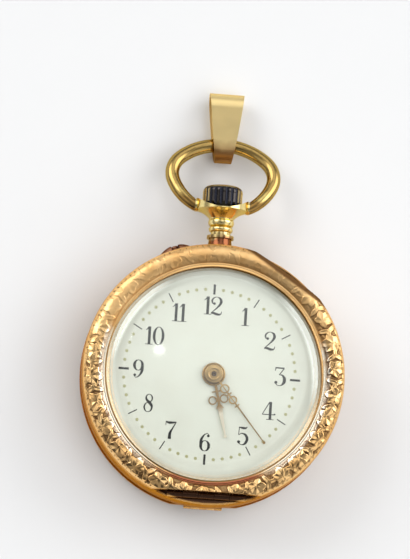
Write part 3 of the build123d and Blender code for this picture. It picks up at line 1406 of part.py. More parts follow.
case_screw_distance = movement_radius - screw_head_radius + fit_gap
with BuildPart() as main_plate:
    disc(Plane.XY.offset(plate_bottom), movement_radius, plate_thickness)
    disc(Plane.XY.offset(plate_top - flange_thickness), flange_radius, flange_thickness)
    # Blocks under the plate that hold the stem
    block_start = winding_pinion_y + winding_pinion_width / 2 + pinion_room
    block_end = sqrt(movement_radius ** 2 - stem_block_half_width ** 2) - running_gap
    with BuildSketch(Plane.XY.offset(bridge_top)):
        with Locations((0, (block_start + block_end) / 2)):
            Rectangle(2 * stem_block_half_width, block_end - block_start)
        with Locations((0, stem_inner_y - stem_radius / 2 - fit_gap)):
            Rectangle(stem_block_half_width, stem_radius + 2 * fit_gap)
    extrude(amount=plate_bottom - bridge_top)
    disc(along_stem(block_start - overrun), stem_radius + running_gap, movement_radius, Mode.SUBTRACT)
    disc(along_stem(stem_tip_y - overrun), stem_radius / 2 + running_gap, 2 * overrun, Mode.SUBTRACT)
    # Recess for the motion work, sink for the escape wheel and slot for the winding pinion
    disc(Plane.XY.offset(recess_floor), recess_radius, recess_depth, Mode.SUBTRACT)
    disc(flat_at(escape_axis, plate_bottom), escape_radius + escape_sink_gap, escape_sink, Mode.SUBTRACT)
    with BuildSketch(Plane.XY.offset(plate_bottom)):
        with Locations((0, (stem_inner_y + block_start) / 2)):
            Rectangle(2 * (winding_pinion_radius + pinion_room), block_start - stem_inner_y)
    extrude(amount=winding_pinion_radius + stem_height + fit_gap - plate_bottom, mode=Mode.SUBTRACT)
    # Pivot holes, jewel seats and screw holes
    disc(flat_at(centre_axis, plate_bottom), centre_post_radius + running_gap, plate_thickness, Mode.SUBTRACT)
    disc(flat_at(barrel_axis, plate_bottom), barrel_arbor_radius / 2 + running_gap, plate_thickness,
         Mode.SUBTRACT)
    for point in (third_axis, fourth_axis, escape_axis, balance_axis):
        disc(flat_at(point, plate_bottom), jewel_radius, plate_thickness, Mode.SUBTRACT)
    for point in bridge_feet.values():
        disc(flat_at(point, plate_bottom), screw_radius, screw_depth, Mode.SUBTRACT)
    disc(flat_at(lever_pivot, plate_bottom), screw_radius, screw_depth, Mode.SUBTRACT)
    for angle in case_screw_angles:
        disc(flat_at(polar(centre_axis, case_screw_distance, angle), plate_bottom), screw_radius, screw_depth,
             Mode.SUBTRACT)
    for angle in dial_foot_angles:
        disc(flat_at(polar(centre_axis, dial_foot_distance, angle), plate_top - dial_foot_length),
             dial_foot_radius, dial_foot_length, Mode.SUBTRACT)
    # Posts for the minute wheel and the setting wheel
    for point, height in ((minute_axis, minute_post_height), (setting_axis, setting_post_height)):
        disc(flat_at(point, recess_floor), centre_post_radius, height)
finish(main_plate, "main_plate")

with BuildPart() as jewels:
    for point, levels in (
        (third_axis, (jewel_low, plate_bottom)),
        (fourth_axis, (jewel_low, plate_bottom)),
        (escape_axis, (escape_cock_top - jewel_thickness, sink_floor)),
        (balance_axis, (balance_cock_top - jewel_thickness, sink_floor)),
    ):
        for level in levels:
            ring(flat_at(point, level), jewel_radius, pivot_radius + running_gap / 2, jewel_thickness)
finish(jewels, "jewels")

with BuildPart() as movement_screws:
    shank_end = plate_bottom + screw_depth
    for key, point in bridge_feet.items():
        head_bottom = {"escape": escape_cock_bottom, "balance": balance_cock_bottom}.get(key, bridge_bottom)
        slotted_screw(point, head_bottom, screw_head_radius, screw_head, screw_radius,
                      shank_end - head_bottom - screw_head)
    for point, head_top, shank_top in (
        (lever_pivot, lever_bottom - running_gap, shank_end),
        (click_pivot, winding_bottom - running_gap, bridge_bottom + screw_depth),
    ):
        slotted_screw(point, head_top - screw_head, screw_head_radius, screw_head, screw_radius,
                      shank_top - head_top)
finish(movement_screws, "movement_screws")

ledge_bottom = plate_top - flange_thickness - seat_height + flange_step
with BuildPart() as case_screws:
    for angle in case_screw_angles:
        slotted_screw(polar(centre_axis, case_screw_distance, angle), ledge_bottom - screw_head,
                      case_screw_head_radius, screw_head, screw_radius, shank_end - ledge_bottom)
finish(case_screws, "case_screws")


# Motion work under the dial

motion_level = recess_floor + motion_floor_gap
second_level = motion_level + motion_height
hour_level = second_level + running_gap
with BuildPart() as cannon_pinion:
    toothed(flat_at(centre_axis, motion_level), cannon_teeth, minute_module, motion_height, 90.0)
    disc(flat_at(centre_axis, motion_level), cannon_pipe_radius, cannon_top - motion_level)
    disc(flat_at(centre_axis, motion_level), centre_post_radius + running_gap / 2, cannon_top - motion_level,
         Mode.SUBTRACT)
finish(cannon_pinion, "cannon_pinion")

with BuildPart() as minute_wheel:
    toothed(flat_at(minute_axis, motion_level), minute_teeth, minute_module, motion_height,
            pinion_phase(90.0, minute_teeth))
    toothed(flat_at(minute_axis, second_level), minute_leaves, hour_module, minute_pinion_height, 270.0)
    disc(flat_at(minute_axis, motion_level), centre_post_radius + running_gap,
         motion_height + minute_pinion_height, Mode.SUBTRACT)
finish(minute_wheel, "minute_wheel")

with BuildPart() as hour_wheel:
    toothed(flat_at(centre_axis, hour_level), hour_teeth, hour_module, motion_height,
            pinion_phase(270.0, hour_teeth))
    disc(flat_at(centre_axis, hour_level), hour_pipe_radius, hour_hand_level + hand_thickness - hour_level)
    disc(flat_at(centre_axis, hour_level), cannon_pipe_radius + running_gap,
         hour_hand_level + hand_thickness - hour_level, Mode.SUBTRACT)
finish(hour_wheel, "hour_wheel")

with BuildPart() as setting_wheel:
    toothed(flat_at(setting_axis, motion_level), setting_teeth, minute_module, motion_height,
            pinion_phase(90.0, setting_teeth))
    disc(flat_at(setting_axis, motion_level), centre_post_radius + running_gap, motion_height, Mode.SUBTRACT)
finish(setting_wheel, "setting_wheel")


# Dial and hands

with BuildPart() as dial:
    disc(Plane.XY.offset(plate_top), dial_radius, dial_thickness)
    chamfer(dial.faces().sort_by(Axis.Z)[-1].edges(), dial_edge)
    disc(Plane.XY.offset(plate_top), dial_hole_radius, dial_thickness, Mode.SUBTRACT)
    for angle in dial_foot_angles:
        disc(flat_at(polar(centre_axis, dial_foot_distance, angle), plate_top - dial_foot_length),
             dial_foot_radius, dial_foot_length)
finish(dial, "dial")


def hand_plane(angle, level):
    """A level plane whose Y axis points along a hand, clockwise from 12 o'clock."""
    turn = radians(-angle)
    return Plane(origin=(0, 0, level), x_dir=(cos(turn), sin(turn), 0), z_dir=(0, 0, 1))


with BuildPart() as hour_hand:
    with BuildSketch(hand_plane(hour_hand_angle, hour_hand_level)):
        Circle(hour_boss_radius)
        with Locations((0, (hour_boss_radius + hour_fleur_y) / 2)):
            Rectangle(hour_stem_width, hour_fleur_y - hour_boss_radius + hour_ring_line)
        with Locations((0, hour_cross_y)):
            SlotOverall(hour_cross_length, hour_ring_line)
        with Locations((-hour_ring_x, hour_ring_y), (hour_ring_x, hour_ring_y)):
            Circle(hour_ring_radius)
            Circle(hour_ring_radius - hour_ring_line, mode=Mode.SUBTRACT)
        with Locations((0, hour_ring_y)):
            Circle(hour_bead_radius)
        # Spread root of the blade, then the blade and its ball tip
        with BuildLine():
            Polyline((-hour_stem_width / 2, hour_neck_y), (-hour_fleur_width / 2, hour_fleur_y),
                     (hour_fleur_width / 2, hour_fleur_y), (hour_stem_width / 2, hour_neck_y), close=True)
        make_face()
        with BuildLine():
            Polyline((-hour_blade_width / 2, hour_fleur_y), (-hand_line / 2, hour_hand_length - hand_tip),
                     (hand_line / 2, hour_hand_length - hand_tip), (hour_blade_width / 2, hour_fleur_y),
                     close=True)
        make_face()
        with Locations((0, hour_hand_length - hand_tip)):
            Circle(hand_tip)
        Circle(hour_pipe_radius, mode=Mode.SUBTRACT)
    extrude(amount=hand_thickness)
    ring(hand_plane(hour_hand_angle, hour_hand_level + hand_thickness), hour_boss_radius - hand_line,
         hour_pipe_radius, boss_rise / 2)
finish(hour_hand, "hour_hand")

with BuildPart() as minute_hand:
    with BuildSketch(hand_plane(minute_hand_angle, minute_hand_level)):
        Circle(minute_boss_radius)
        with BuildLine():
            Polyline((-minute_stem_width / 2, 0), (-minute_point_width / 2, minute_hand_length - hand_tip),
                     (minute_point_width / 2, minute_hand_length - hand_tip), (minute_stem_width / 2, 0),
                     close=True)
        make_face()
        for ring_y_at, radius in minute_rings:
            with Locations((-minute_ring_shift, ring_y_at), (minute_ring_shift, ring_y_at)):
                Circle(radius)
            with Locations((0, ring_y_at)):
                Circle(radius - minute_ring_line, mode=Mode.SUBTRACT)
                Rectangle(minute_point_width, 2 * radius)
        for knob_y, length in minute_knobs:
            with Locations((0, knob_y)):
                SlotOverall(length, hand_line)
        with Locations((0, minute_hand_length - hand_tip)):
            Circle(hand_tip)
        Circle(cannon_pipe_radius, mode=Mode.SUBTRACT)
    extrude(amount=hand_thickness)
    ring(hand_plane(minute_hand_angle, minute_hand_level + hand_thickness), minute_boss_radius - hand_line,
         cannon_pipe_radius, boss_rise)
finish(minute_hand, "minute_hand")

os.makedirs("parts", exist_ok=True)
for name, piece in pieces.items():
    export_step(piece, f"parts/{name}.step")
print(len(pieces), "pieces")
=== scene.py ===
# %% [markdown]
# # A lady's open-face pendant watch
#
# The watch lies on its back on a pale table: a gold case 30 mm across with an engraved
# ring round the glass, a fluted crown, an oval bow and a folded bail. The movement, the
# covers and the hinges come from the CAD frame. This script adds what a goldsmith, an
# enameller and a dial painter add: the chased leaves on the ring, the printed numerals,
# the turned hubs of the hands, the finish of each metal, and the light.

# %% Load the frame
import math

import bpy
import numpy as np
from mathutils import Matrix, Vector


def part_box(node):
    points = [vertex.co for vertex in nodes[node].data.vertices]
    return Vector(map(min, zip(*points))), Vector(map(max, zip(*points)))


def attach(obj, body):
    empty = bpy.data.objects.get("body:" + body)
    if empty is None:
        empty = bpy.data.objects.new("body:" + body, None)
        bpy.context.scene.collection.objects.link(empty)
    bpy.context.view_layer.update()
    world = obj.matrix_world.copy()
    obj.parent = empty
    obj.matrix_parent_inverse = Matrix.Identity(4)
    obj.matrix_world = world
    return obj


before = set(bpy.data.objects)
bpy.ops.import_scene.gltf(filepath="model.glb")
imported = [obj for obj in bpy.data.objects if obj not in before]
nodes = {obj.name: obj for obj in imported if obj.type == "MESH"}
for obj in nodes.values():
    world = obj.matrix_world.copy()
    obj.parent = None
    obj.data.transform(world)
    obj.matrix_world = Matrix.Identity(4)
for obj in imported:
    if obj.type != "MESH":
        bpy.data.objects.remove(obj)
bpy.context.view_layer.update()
MM = 0.001

# %% [markdown]
# ## Sizes taken from the frame
#
# The frame is in metres. Shapes are worked out here in millimetres, and one function
# turns them into metres, so that the numbers below read like those on a drawing.
# What can be measured on the CAD nodes is measured, so the dressing follows the solids.
# The other four are levels inside a piece, which its box doesn't give.

# %% Sizes
case_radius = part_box("case_middle")[1].x / MM
dial_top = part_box("dial")[1].z / MM
crown_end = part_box("crown")[1].y / MM
band_top = 6.8
stem_height = 4.6
hour_top = 7.4
minute_top = 7.7
print("case radius", round(case_radius, 2), "dial top", round(dial_top, 2))

# %% [markdown]
# ## A small language for finishes
#
# A finish is arithmetic on positions: noise for stains and wear, finer noise for the
# polish marks. `Wire` wraps a socket so that finishes can be written with plain
# operators, and `Graph` adds any node by its type, settings and sockets.

# %% Shader helpers


class Wire:
    """One output socket, so written that plain operators work on it."""

    def __init__(self, graph, socket):
        self.graph, self.socket = graph, socket

    def __add__(self, other):
        return self.graph.maths("ADD", self, other)

    def __rsub__(self, other):
        return self.graph.maths("SUBTRACT", other, self)

    def __mul__(self, other):
        return self.graph.maths("MULTIPLY", self, other)

    def __truediv__(self, other):
        return self.graph.maths("DIVIDE", self, other)

    __radd__ = __add__
    __rmul__ = __mul__


class Graph:
    """A node tree that is written from code."""

    def __init__(self, tree):
        self.tree = tree
        tree.nodes.clear()

    def node(self, kind, settings=(), sockets=(), out=0):
        made = self.tree.nodes.new(kind)
        for name, value in dict(settings).items():
            setattr(made, name, value)
        for key, value in dict(sockets).items():
            if isinstance(value, Wire):
                self.tree.links.new(value.socket, made.inputs[key])
            else:
                made.inputs[key].default_value = value
        return Wire(self, made.outputs[out]) if len(made.outputs) else made

    def maths(self, operation, a, b=0.0):
        return self.node("ShaderNodeMath", {"operation": operation}, {0: a, 1: b})

    def vector(self, operation, a, b, out=0):
        return self.node("ShaderNodeVectorMath", {"operation": operation}, {0: a, 1: b}, out)

    def mix(self, share, a, b):
        return self.node("ShaderNodeMix", {"data_type": "RGBA"}, {0: share, 6: a, 7: b}, 2)

    def fit(self, value, low, high):
        """0 up to the first limit and 1 from the second on, with a straight ramp between."""
        return self.node("ShaderNodeMapRange", {},
                         {"Value": value, "From Min": low, "From Max": high})

    def place(self, stretch=(1.0, 1.0, 1.0)):
        """Position on the piece in millimetres, stretched along the axes."""
        spot = self.node("ShaderNodeTexCoord", out="Object")
        return self.vector("MULTIPLY", spot, [s / MM for s in stretch])

    def axis(self, place, name):
        """One coordinate of a position."""
        return self.node("ShaderNodeSeparateXYZ", {}, {"Vector": place}, name)

    def distance(self, place, kept=(1.0, 1.0, 0.0)):
        """Distance from an axis, which is the one that isn't kept."""
        across = self.vector("MULTIPLY", place, kept)
        return self.vector("LENGTH", across, (0.0, 0.0, 0.0), "Value")

    def noise(self, place, scale, detail=2.0):
        return self.node("ShaderNodeTexNoise", {},
                         {"Vector": place, "Scale": scale, "Detail": detail})

    def stains(self, scale, start):
        """Slow clouds: 0 where the metal is clean and 1 where it is fully stained."""
        return self.fit(self.noise(self.place(), scale, 4.0), start, 0.7)

    def bump(self, height, distance):
        """Relief of this many millimetres."""
        return self.node("ShaderNodeBump", {}, {"Height": height, "Distance": distance * MM})

    def surface(self, sockets):
        shader = self.node("ShaderNodeBsdfPrincipled", {}, sockets)
        self.node("ShaderNodeOutputMaterial", {}, {"Surface": shader})


def finish_of(name):
    """A new material and the graph that writes it."""
    material = bpy.data.materials.new(name)
    material.use_nodes = True
    return material, Graph(material.node_tree)


def rgb(red, green, blue):
    return (red, green, blue, 1.0)


# %% [markdown]
# ## Metals
#
# Old gold isn't one colour: it is bright where fingers polish it and browner in the
# hollows, and its polish is crossed by hair-fine marks. Each metal mixes a clean and a
# worn colour by slow noise, varies its roughness by fine noise, and takes a slight
# relief from the same noise. A ground metal gets its noise stretched along one axis.

# %% Metal finishes


def polished(g, colour, tint, stains, roughness, spread, relief, stretch):
    """Write a metal that is rougher where it is stained and crossed by fine marks."""
    marks = g.noise(g.place(stretch), 7.0, 3.0)
    g.surface({
        "Base Color": colour,
        "Metallic": 1.0,
        "Specular Tint": tint,
        "Roughness": marks * spread + stains * (0.5 * spread) + roughness,
        "Normal": g.bump(marks, relief),
    })


def metal(name, clean, worn, roughness, spread, relief, stretch=(1.0, 1.0, 1.0)):
    """Metal that goes from its clean to its worn colour where it is stained."""
    material, g = finish_of(name)
    stains = g.stains(0.55, 0.42)
    polished(g, g.mix(stains, clean, worn), clean, stains, roughness, spread, relief, stretch)
    return material


# Clean colour, worn colour, roughness, how much it spreads, relief in millimetres
case_gold = metal("case_gold", rgb(0.84, 0.52, 0.22), rgb(0.66, 0.36, 0.13), 0.10, 0.16, 0.004)
copper = metal("copper", rgb(0.3, 0.14, 0.08), rgb(0.07, 0.035, 0.025), 0.2, 0.25, 0.01)
bronze = metal("bronze", rgb(0.62, 0.42, 0.17), rgb(0.32, 0.2, 0.08), 0.2, 0.2, 0.004)
dark_bronze = metal("dark_bronze", rgb(0.12, 0.07, 0.035), rgb(0.07, 0.04, 0.025),
                    0.3, 0.2, 0.003)
plate_nickel = metal("plate_nickel", rgb(0.74, 0.72, 0.66), rgb(0.6, 0.55, 0.45),
                     0.32, 0.2, 0.006)
wheel_brass = metal("wheel_brass", rgb(0.83, 0.64, 0.3), rgb(0.6, 0.42, 0.18), 0.2, 0.2, 0.004)
steel = metal("steel", rgb(0.55, 0.56, 0.58), rgb(0.4, 0.38, 0.36), 0.16, 0.2, 0.003,
              (0.3, 6.0, 6.0))
blued_steel = metal("blued_steel", rgb(0.1, 0.17, 0.42), rgb(0.2, 0.12, 0.3), 0.18, 0.16, 0.002)
print("eight plain metals")

# %% [markdown]
# ### Metals that change along the piece
#
# The pendant's neck is copper-red where the plating has worn through at its base, and so
# is the bow beside the cup; the bow's underside is painted darker as shade. The bail is
# satin above, with painted shade and a painted red-brown reflection towards the turn in
# which the bow lies. Painted shade darkens the recess of the band beside the bezel and
# the bezel's hinge. The crown holds dark oxide in its flutes, and its front is painted
# dark as a reflection, so only its sides, painted as bright reflections, and its end
# shine. The hour hand is bronze at its hub and paler along its blade.
#
# Each change is a ramp between two limits in millimetres along or round its piece, a
# little ragged because stains are added to the measured place.

# %% Changing metals
neck_ramp = (16.0, 16.9)
bow_ramp, bow_underside_shade_ramp = (20.8, 21.8), (stem_height - 0.1, stem_height + 0.45)
bail_turn_shade_ramp = (26.6, 28.2)
crown_ridge_ramp, crown_side_reflection_ramp = (2.2, 2.29), (1.5, 1.9)
crown_end_ramp = (crown_end - 0.5, crown_end - 0.2)
blade_ramp = (3.8, 4.6)
recess_shade_ramp, recess_shade_depth_ramp = (14.62, 14.76), (band_top - 0.55, band_top - 0.75)
hinge_shade_top_ramp, hinge_shade_front_ramp = (7.26, 7.38), (-13.5, -13.3)


def mixed_metal(name, low, high, share_of, roughness, spread, relief,
                stretch=(1.0, 1.0, 1.0)):
    """Metal that goes from one colour to another by a share worked out from the place."""
    material, g = finish_of(name)
    stains = g.stains(0.8, 0.4)
    colour = g.mix(share_of(g, g.place(), stains), low, high)
    polished(g, colour, high, stains, roughness, spread, relief, stretch)
    return material


def along_neck(g, place, stains):
    return g.fit(g.axis(place, "Y") + stains * 0.5, *neck_ramp)


# Copper-red beside the cup where the plating wore through; the underside is also painted darker as
# shade.
def along_bow(g, place, stains):
    from_cup = g.fit(g.axis(place, "Y") + stains * 0.5, *bow_ramp)
    clear_of_underside_shade = g.fit(g.axis(place, "Z") + stains * 0.1, *bow_underside_shade_ramp)
    return from_cup * (clear_of_underside_shade * 0.8 + 0.2)


# Painted shade with a painted red-brown reflection towards the bail's turn.
def along_bail(g, place, stains):
    return g.fit(g.axis(place, "Y") + stains * 0.3, *bail_turn_shade_ramp)


# Dark oxide in the flutes, plus a painted dark reflection across the front; the ridges are gold
# only at the sides, as painted bright reflections, and at the end.
def over_crown(g, place, stains):
    off_axis = g.vector("SUBTRACT", place, (0.0, 0.0, stem_height))
    from_axis = g.distance(off_axis, (1.0, 0.0, 1.0))
    ridge = g.fit(from_axis + stains * 0.02, *crown_ridge_ramp)
    side_reflection = g.fit(g.maths("ABSOLUTE", g.axis(place, "X")), *crown_side_reflection_ramp)
    at_end = g.fit(g.axis(place, "Y"), *crown_end_ramp)
    return g.maths("MAXIMUM", ridge * (side_reflection * 0.95 + 0.05), at_end)


def along_hand(g, place, stains):
    return g.fit(g.distance(place) + stains * 0.2, *blade_ramp)


# Painted shade: the band is dark in its recess beside the bezel and clean outside it and lower
# down.
def outside_recess(g, place, stains):
    outside = g.fit(g.distance(place) + stains * 0.05, *recess_shade_ramp)
    below = g.fit(g.axis(place, "Z"), *recess_shade_depth_ramp)
    return g.maths("MAXIMUM", outside, below)


# Painted shade: the bezel is dark below the ring's level at its hinge.
def clear_of_hinge(g, place, stains):
    above = g.fit(g.axis(place, "Z"), *hinge_shade_top_ramp)
    inwards = g.fit(g.axis(place, "Y"), *hinge_shade_front_ramp)
    return g.maths("MAXIMUM", above, inwards)


# The band's dark colour is painted shade in its recess.
band_gold = mixed_metal("band_gold", rgb(0.1, 0.05, 0.03), rgb(0.74, 0.41, 0.14),
                        outside_recess, 0.18, 0.16, 0.004)
# The bezel's dark colour is painted shade at its hinge.
bezel_gold = mixed_metal("bezel_gold", rgb(0.1, 0.05, 0.03), rgb(0.84, 0.52, 0.22),
                         clear_of_hinge, 0.1, 0.16, 0.004)
pendant_gold = mixed_metal("pendant_gold", rgb(0.23, 0.08, 0.035), rgb(0.86, 0.7, 0.31),
                           along_neck, 0.08, 0.14, 0.004)
# The bow's dark colour is worn plating beside the cup and painted shade on the underside.
bow_gold = mixed_metal("bow_gold", rgb(0.34, 0.2, 0.06), rgb(0.84, 0.68, 0.25),
                       along_bow, 0.08, 0.12, 0.004)
# The bail's red-brown colour is painted shade and reflection at its turn.
bail_gold = mixed_metal("bail_gold", rgb(0.4, 0.2, 0.07), rgb(0.9, 0.7, 0.33),
                        along_bail, 0.26, 0.2, 0.006, (6.0, 0.7, 6.0))
# The crown's dark colour is oxide in the flutes and a painted dark reflection on its front.
crown_gold = mixed_metal("crown_gold", rgb(0.028, 0.03, 0.042), rgb(0.74, 0.56, 0.25),
                         over_crown, 0.12, 0.16, 0.003)
hand_gold = mixed_metal("hand_gold", rgb(0.4, 0.25, 0.1), rgb(1.0, 0.93, 0.75),
                        along_hand, 0.2, 0.2, 0.003)
print("seven changing metals")

# %% [markdown]
# ## Enamel, glass, ruby and ink
#
# The dial is fired enamel: nearly white with a breath of green, glossy, with a faint
# orange-peel surface and a few specks. The glass is thin and clear, so it is drawn as
# a film that only reflects: hardly at all where it is looked through squarely, and
# more towards its steep edge.

# %% Other finishes
cloud_ramp, speck_ramp = (0.35, 0.7), (0.79, 0.83)
glass_edge_ramp = (10.4, 12.3)

dial_enamel, g = finish_of("dial_enamel")
clouds = g.fit(g.noise(g.place(), 0.35, 3.0), *cloud_ramp)
specks = g.fit(g.noise(g.place(), 5.5, 1.0), *speck_ramp)
pale = g.mix(clouds, rgb(0.7, 0.735, 0.635), rgb(0.675, 0.7, 0.6))
g.surface({
    "Base Color": g.mix(specks, pale, rgb(0.35, 0.33, 0.26)),
    "Roughness": clouds * 0.1 + 0.16,
    "Coat Weight": 0.4,
    "Normal": g.bump(clouds, 0.02),
})

ink, g = finish_of("dial_ink")
thin_print = g.noise(g.place(), 6.0, 2.0)
g.surface({
    "Base Color": g.mix(thin_print, rgb(0.006, 0.007, 0.008), rgb(0.018, 0.018, 0.016)),
    "Roughness": thin_print * 0.2 + 0.3,
})

dot_gold, g = finish_of("dot_gold")
dulled = g.noise(g.place(), 4.0, 2.0)
g.surface({
    "Base Color": g.mix(dulled, rgb(0.5, 0.5, 0.28), rgb(0.4, 0.4, 0.2)),
    "Metallic": 0.3,
    "Roughness": dulled * 0.2 + 0.35,
})

ruby, g = finish_of("ruby")
silk = g.noise(g.place(), 8.0, 2.0)
g.surface({
    "Base Color": g.mix(silk, rgb(0.5, 0.02, 0.07), rgb(0.35, 0.01, 0.05)),
    "Roughness": silk * 0.1 + 0.05,
})

crystal_glass, g = finish_of("crystal_glass")
smears = g.noise(g.place(), 0.5, 4.0)
steep = g.fit(g.distance(g.place()), *glass_edge_ramp)
g.surface({
    "Base Color": g.mix(smears, rgb(0.95, 0.98, 0.96), rgb(0.85, 0.9, 0.87)),
    "Metallic": 1.0,
    "Roughness": smears * 0.05 + 0.02,
    "Alpha": steep * steep * 0.22 + smears * 0.02 + 0.045,
})
print("five more finishes")

# %% [markdown]
# ## Finishes on the frame's nodes
#
# Every node keeps its place and its mesh; only its material changes.

# %% Dress the nodes
dressing = {
    band_gold: ["case_middle"],
    bezel_gold: ["bezel", "bezel_hinge_pin"],
    case_gold: ["back_cover", "back_hinge_pin", "cuvette", "cuvette_hinge_pin"],
    pendant_gold: ["pendant_neck"],
    bow_gold: ["bow", "bow_screws"],
    copper: ["setting_guards", "set_pin"],
    dark_bronze: ["centre_arbor"],
    bronze: ["cannon_pinion", "minute_hand"],
    bail_gold: ["bail"],
    crown_gold: ["crown"],
    hand_gold: ["hour_hand"],
    plate_nickel: ["main_plate", "barrel_bridge", "centre_cock", "third_cock", "fourth_cock",
                   "escape_cock", "balance_cock"],
    wheel_brass: ["barrel", "barrel_cover", "centre_wheel", "third_wheel", "fourth_wheel",
                  "minute_wheel", "hour_wheel", "setting_wheel", "balance_wheel"],
    steel: ["barrel_arbor", "ratchet_wheel", "crown_wheel", "ratchet_screw", "crown_wheel_screw",
            "winding_pinion", "winding_stem", "sliding_clutch", "setting_lever", "third_arbor",
            "fourth_arbor", "escape_arbor", "escape_wheel", "balance_staff", "hairspring_stud",
            "regulator", "click", "click_spring", "movement_screws", "case_screws"],
    blued_steel: ["mainspring", "hairspring"],
    dial_enamel: ["dial"],
    crystal_glass: ["crystal"],
    ruby: ["jewels"],
}
dressed = 0
for material, names in dressing.items():
    for name in names:
        mesh = nodes[name].data
        if not mesh.materials:
            mesh.materials.append(material)
        for index in range(len(mesh.materials)):
            mesh.materials[index] = material
        dressed += 1
print(dressed, "of", len(nodes), "nodes dressed")

# %% [markdown]
# ## From points to pieces
#
# A piece is made from points in millimetres and faces, gets a finish, and rides on the
# body that it is fixed to.

# %% Piece helpers


def linked(name, data):
    """A new object with this data, in the scene."""
    made = bpy.data.objects.new(name, data)
    bpy.context.scene.collection.objects.link(made)
    return made


def piece(name, points, faces, material, body, smooth=True):
    """A mesh object from points in millimetres, fixed to a body of the frame."""
    mesh = bpy.data.meshes.new(name)
    mesh.from_pydata((np.asarray(points, float) * MM).tolist(), [], faces)
    mesh.update()
    mesh.validate()
    mesh.materials.append(material)
    mesh.shade_smooth() if smooth else mesh.shade_flat()
    made = linked(name, mesh)
    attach(made, body)
    return made


def sheet_faces(rows, columns):
    """Faces of a grid of points whose rows and columns both close on themselves."""
    row, column = np.meshgrid(np.arange(rows), np.arange(columns), indexing="ij")
    next_row, next_column = (row + 1) % rows, (column + 1) % columns
    quads = np.stack([row * columns + column, row * columns + next_column,
                      next_row * columns + next_column, next_row * columns + column], axis=-1)
    return quads.reshape(-1, 4).tolist()


def smooth_step(low, high, value):
    share = np.clip((value - low) / (high - low), 0.0, 1.0)
    return share * share * (3.0 - 2.0 * share)


def bell(value, width):
    return np.exp(-(value / width) ** 2)


# %% [markdown]
# ## The engraved ring
#
# The ring round the glass is cast, turned and then chased by hand: a winding stem
# carries ivy leaves that point outwards and inwards by turns, on a stippled ground,
# between a row of nicks at the rim and a fine line. Next to the glass it is polished.
#
# The relief is a height over an unrolled strip: along it runs the way round the case,
# across it the way from the rim over the crest to the lip. The strip is then laid on
# the profile of the ring as a skin that sits just proud of the solid one.

# %% The profile that the skin follows
rim = (case_radius, 7.15)
crest = (13.3, 8.5)
dip = (12.78, 8.22)
lip = (12.36, 8.325)
rim_swell = 0.408
dip_swell = 0.06
outer_steps, inner_steps, lip_steps = 37, 7, 5
rows_under_rim = 2


def between(a, b, outwards, up):
    """The middle of two points, moved outwards and up."""
    return ((a[0] + b[0]) / 2 + outwards, (a[1] + b[1]) / 2 + up)


def arc_through(start, middle, end, count):
    """Points of the circle arc through three points, without the last one."""
    a, b, c = (complex(*point) for point in (start, middle, end))
    w = (c - a) / (b - a)
    centre = (b - a) * (w - abs(w) ** 2) / (2j * w.imag) + a
    first, last = np.angle(a - centre), np.angle(c - centre)
    middle_angle = first + ((np.angle(b - centre) - first + np.pi) % (2.0 * np.pi) - np.pi)
    last = middle_angle + ((last - middle_angle + np.pi) % (2.0 * np.pi) - np.pi)
    angle = np.linspace(first, last, count, endpoint=False)
    return np.stack([centre.real + abs(a - centre) * np.cos(angle),
                     centre.imag + abs(a - centre) * np.sin(angle)], axis=1)


outer_arc = arc_through(rim, between(rim, crest, rim_swell, rim_swell), crest, outer_steps)
inner_arc = arc_through(crest, between(crest, dip, 0.0, dip_swell), dip, inner_steps)
lip_rise = np.linspace(dip, lip, lip_steps)
profile = np.concatenate([outer_arc[rows_under_rim:], inner_arc, lip_rise])
steps = np.hypot(*np.diff(profile, axis=0).T)
across_strip = np.concatenate([[0.0], np.cumsum(steps)])
slope = np.gradient(profile, across_strip, axis=0)
outward = np.stack([slope[:, 1], -slope[:, 0]], axis=1)
outward /= np.hypot(*outward.T)[:, None]
print("strip", round(across_strip[-1], 2), "mm wide in", len(profile), "rows")

# %% [markdown]
# ### Leaves, stems and ground as one height map
#
# An ivy leaf is the union of five pointed blades, and smaller blades sprout from the
# stem between the leaves. Each blade has its centre line and a half width that shrinks
# towards its tip; what is left of the half width tells how far a point lies inside it.
# From that one number follow the cut outline and the hollow towards the vein, whose
# two sides throw the light apart, as bright-cut work does. The ring is worn smoother
# beside the pendant, where it is handled most.

# %% Work out the relief
columns = 1400
leaf_pairs = 15
leaf_ring = 13.9
leaf_size = 1.46
size_limits = (0.9, 1.08)
lean_spread, sprig_spread = 26.0, 15.0
along_spread, across_spread, leaf_stagger = 0.08, 0.12, 0.2
facet_spread = 0.12
band_edges = (14.66, 12.86)
leaf_edge, outline_width = (-0.02, 0.05), 0.05
leaf_rise, vein_slope = 0.045, 0.21
stem_rise, stem_sway, stem_width = 0.05, 0.8, 0.085
tendril_rise, tendril_sway, tendril_width, tendril_lag = 0.035, 0.95, 0.06, 0.6
hatch_along, hatch_across = 3.2, 1.5
ground_depth, hatch_depth, punch_depth, leaf_punch_depth = 0.045, 0.014, 0.01, 0.005
line_depth, line_width, line_inset = 0.03, 0.035, 0.08
nick_depth, nick_pitch, nick_width, nick_reach = 0.07, 0.62, 0.1, 0.16
nick_chance = (0.2, 0.6)
band_fade_out, band_fade_in = 0.15, 0.06
worn_share, worn_middle, worn_limits = 0.74, 0.25, (0.1, 0.8)
skin_lift_full, inner_drop = 0.095, 0.04
turn = np.linspace(0.0, 2.0 * np.pi, columns, endpoint=False)
chance = np.random.default_rng(7)
strip_length = 2.0 * np.pi * leaf_ring
U, V = np.meshgrid(turn * leaf_ring, across_strip, indexing="ij")
inside = np.full(U.shape, -1.0)
valley = np.zeros(U.shape)
facet = np.zeros(U.shape)


def across_at(radius):
    """The way across the strip, from the rim, at which the ring has this radius."""
    return float(np.interp(-radius, -profile[:, 0], across_strip))


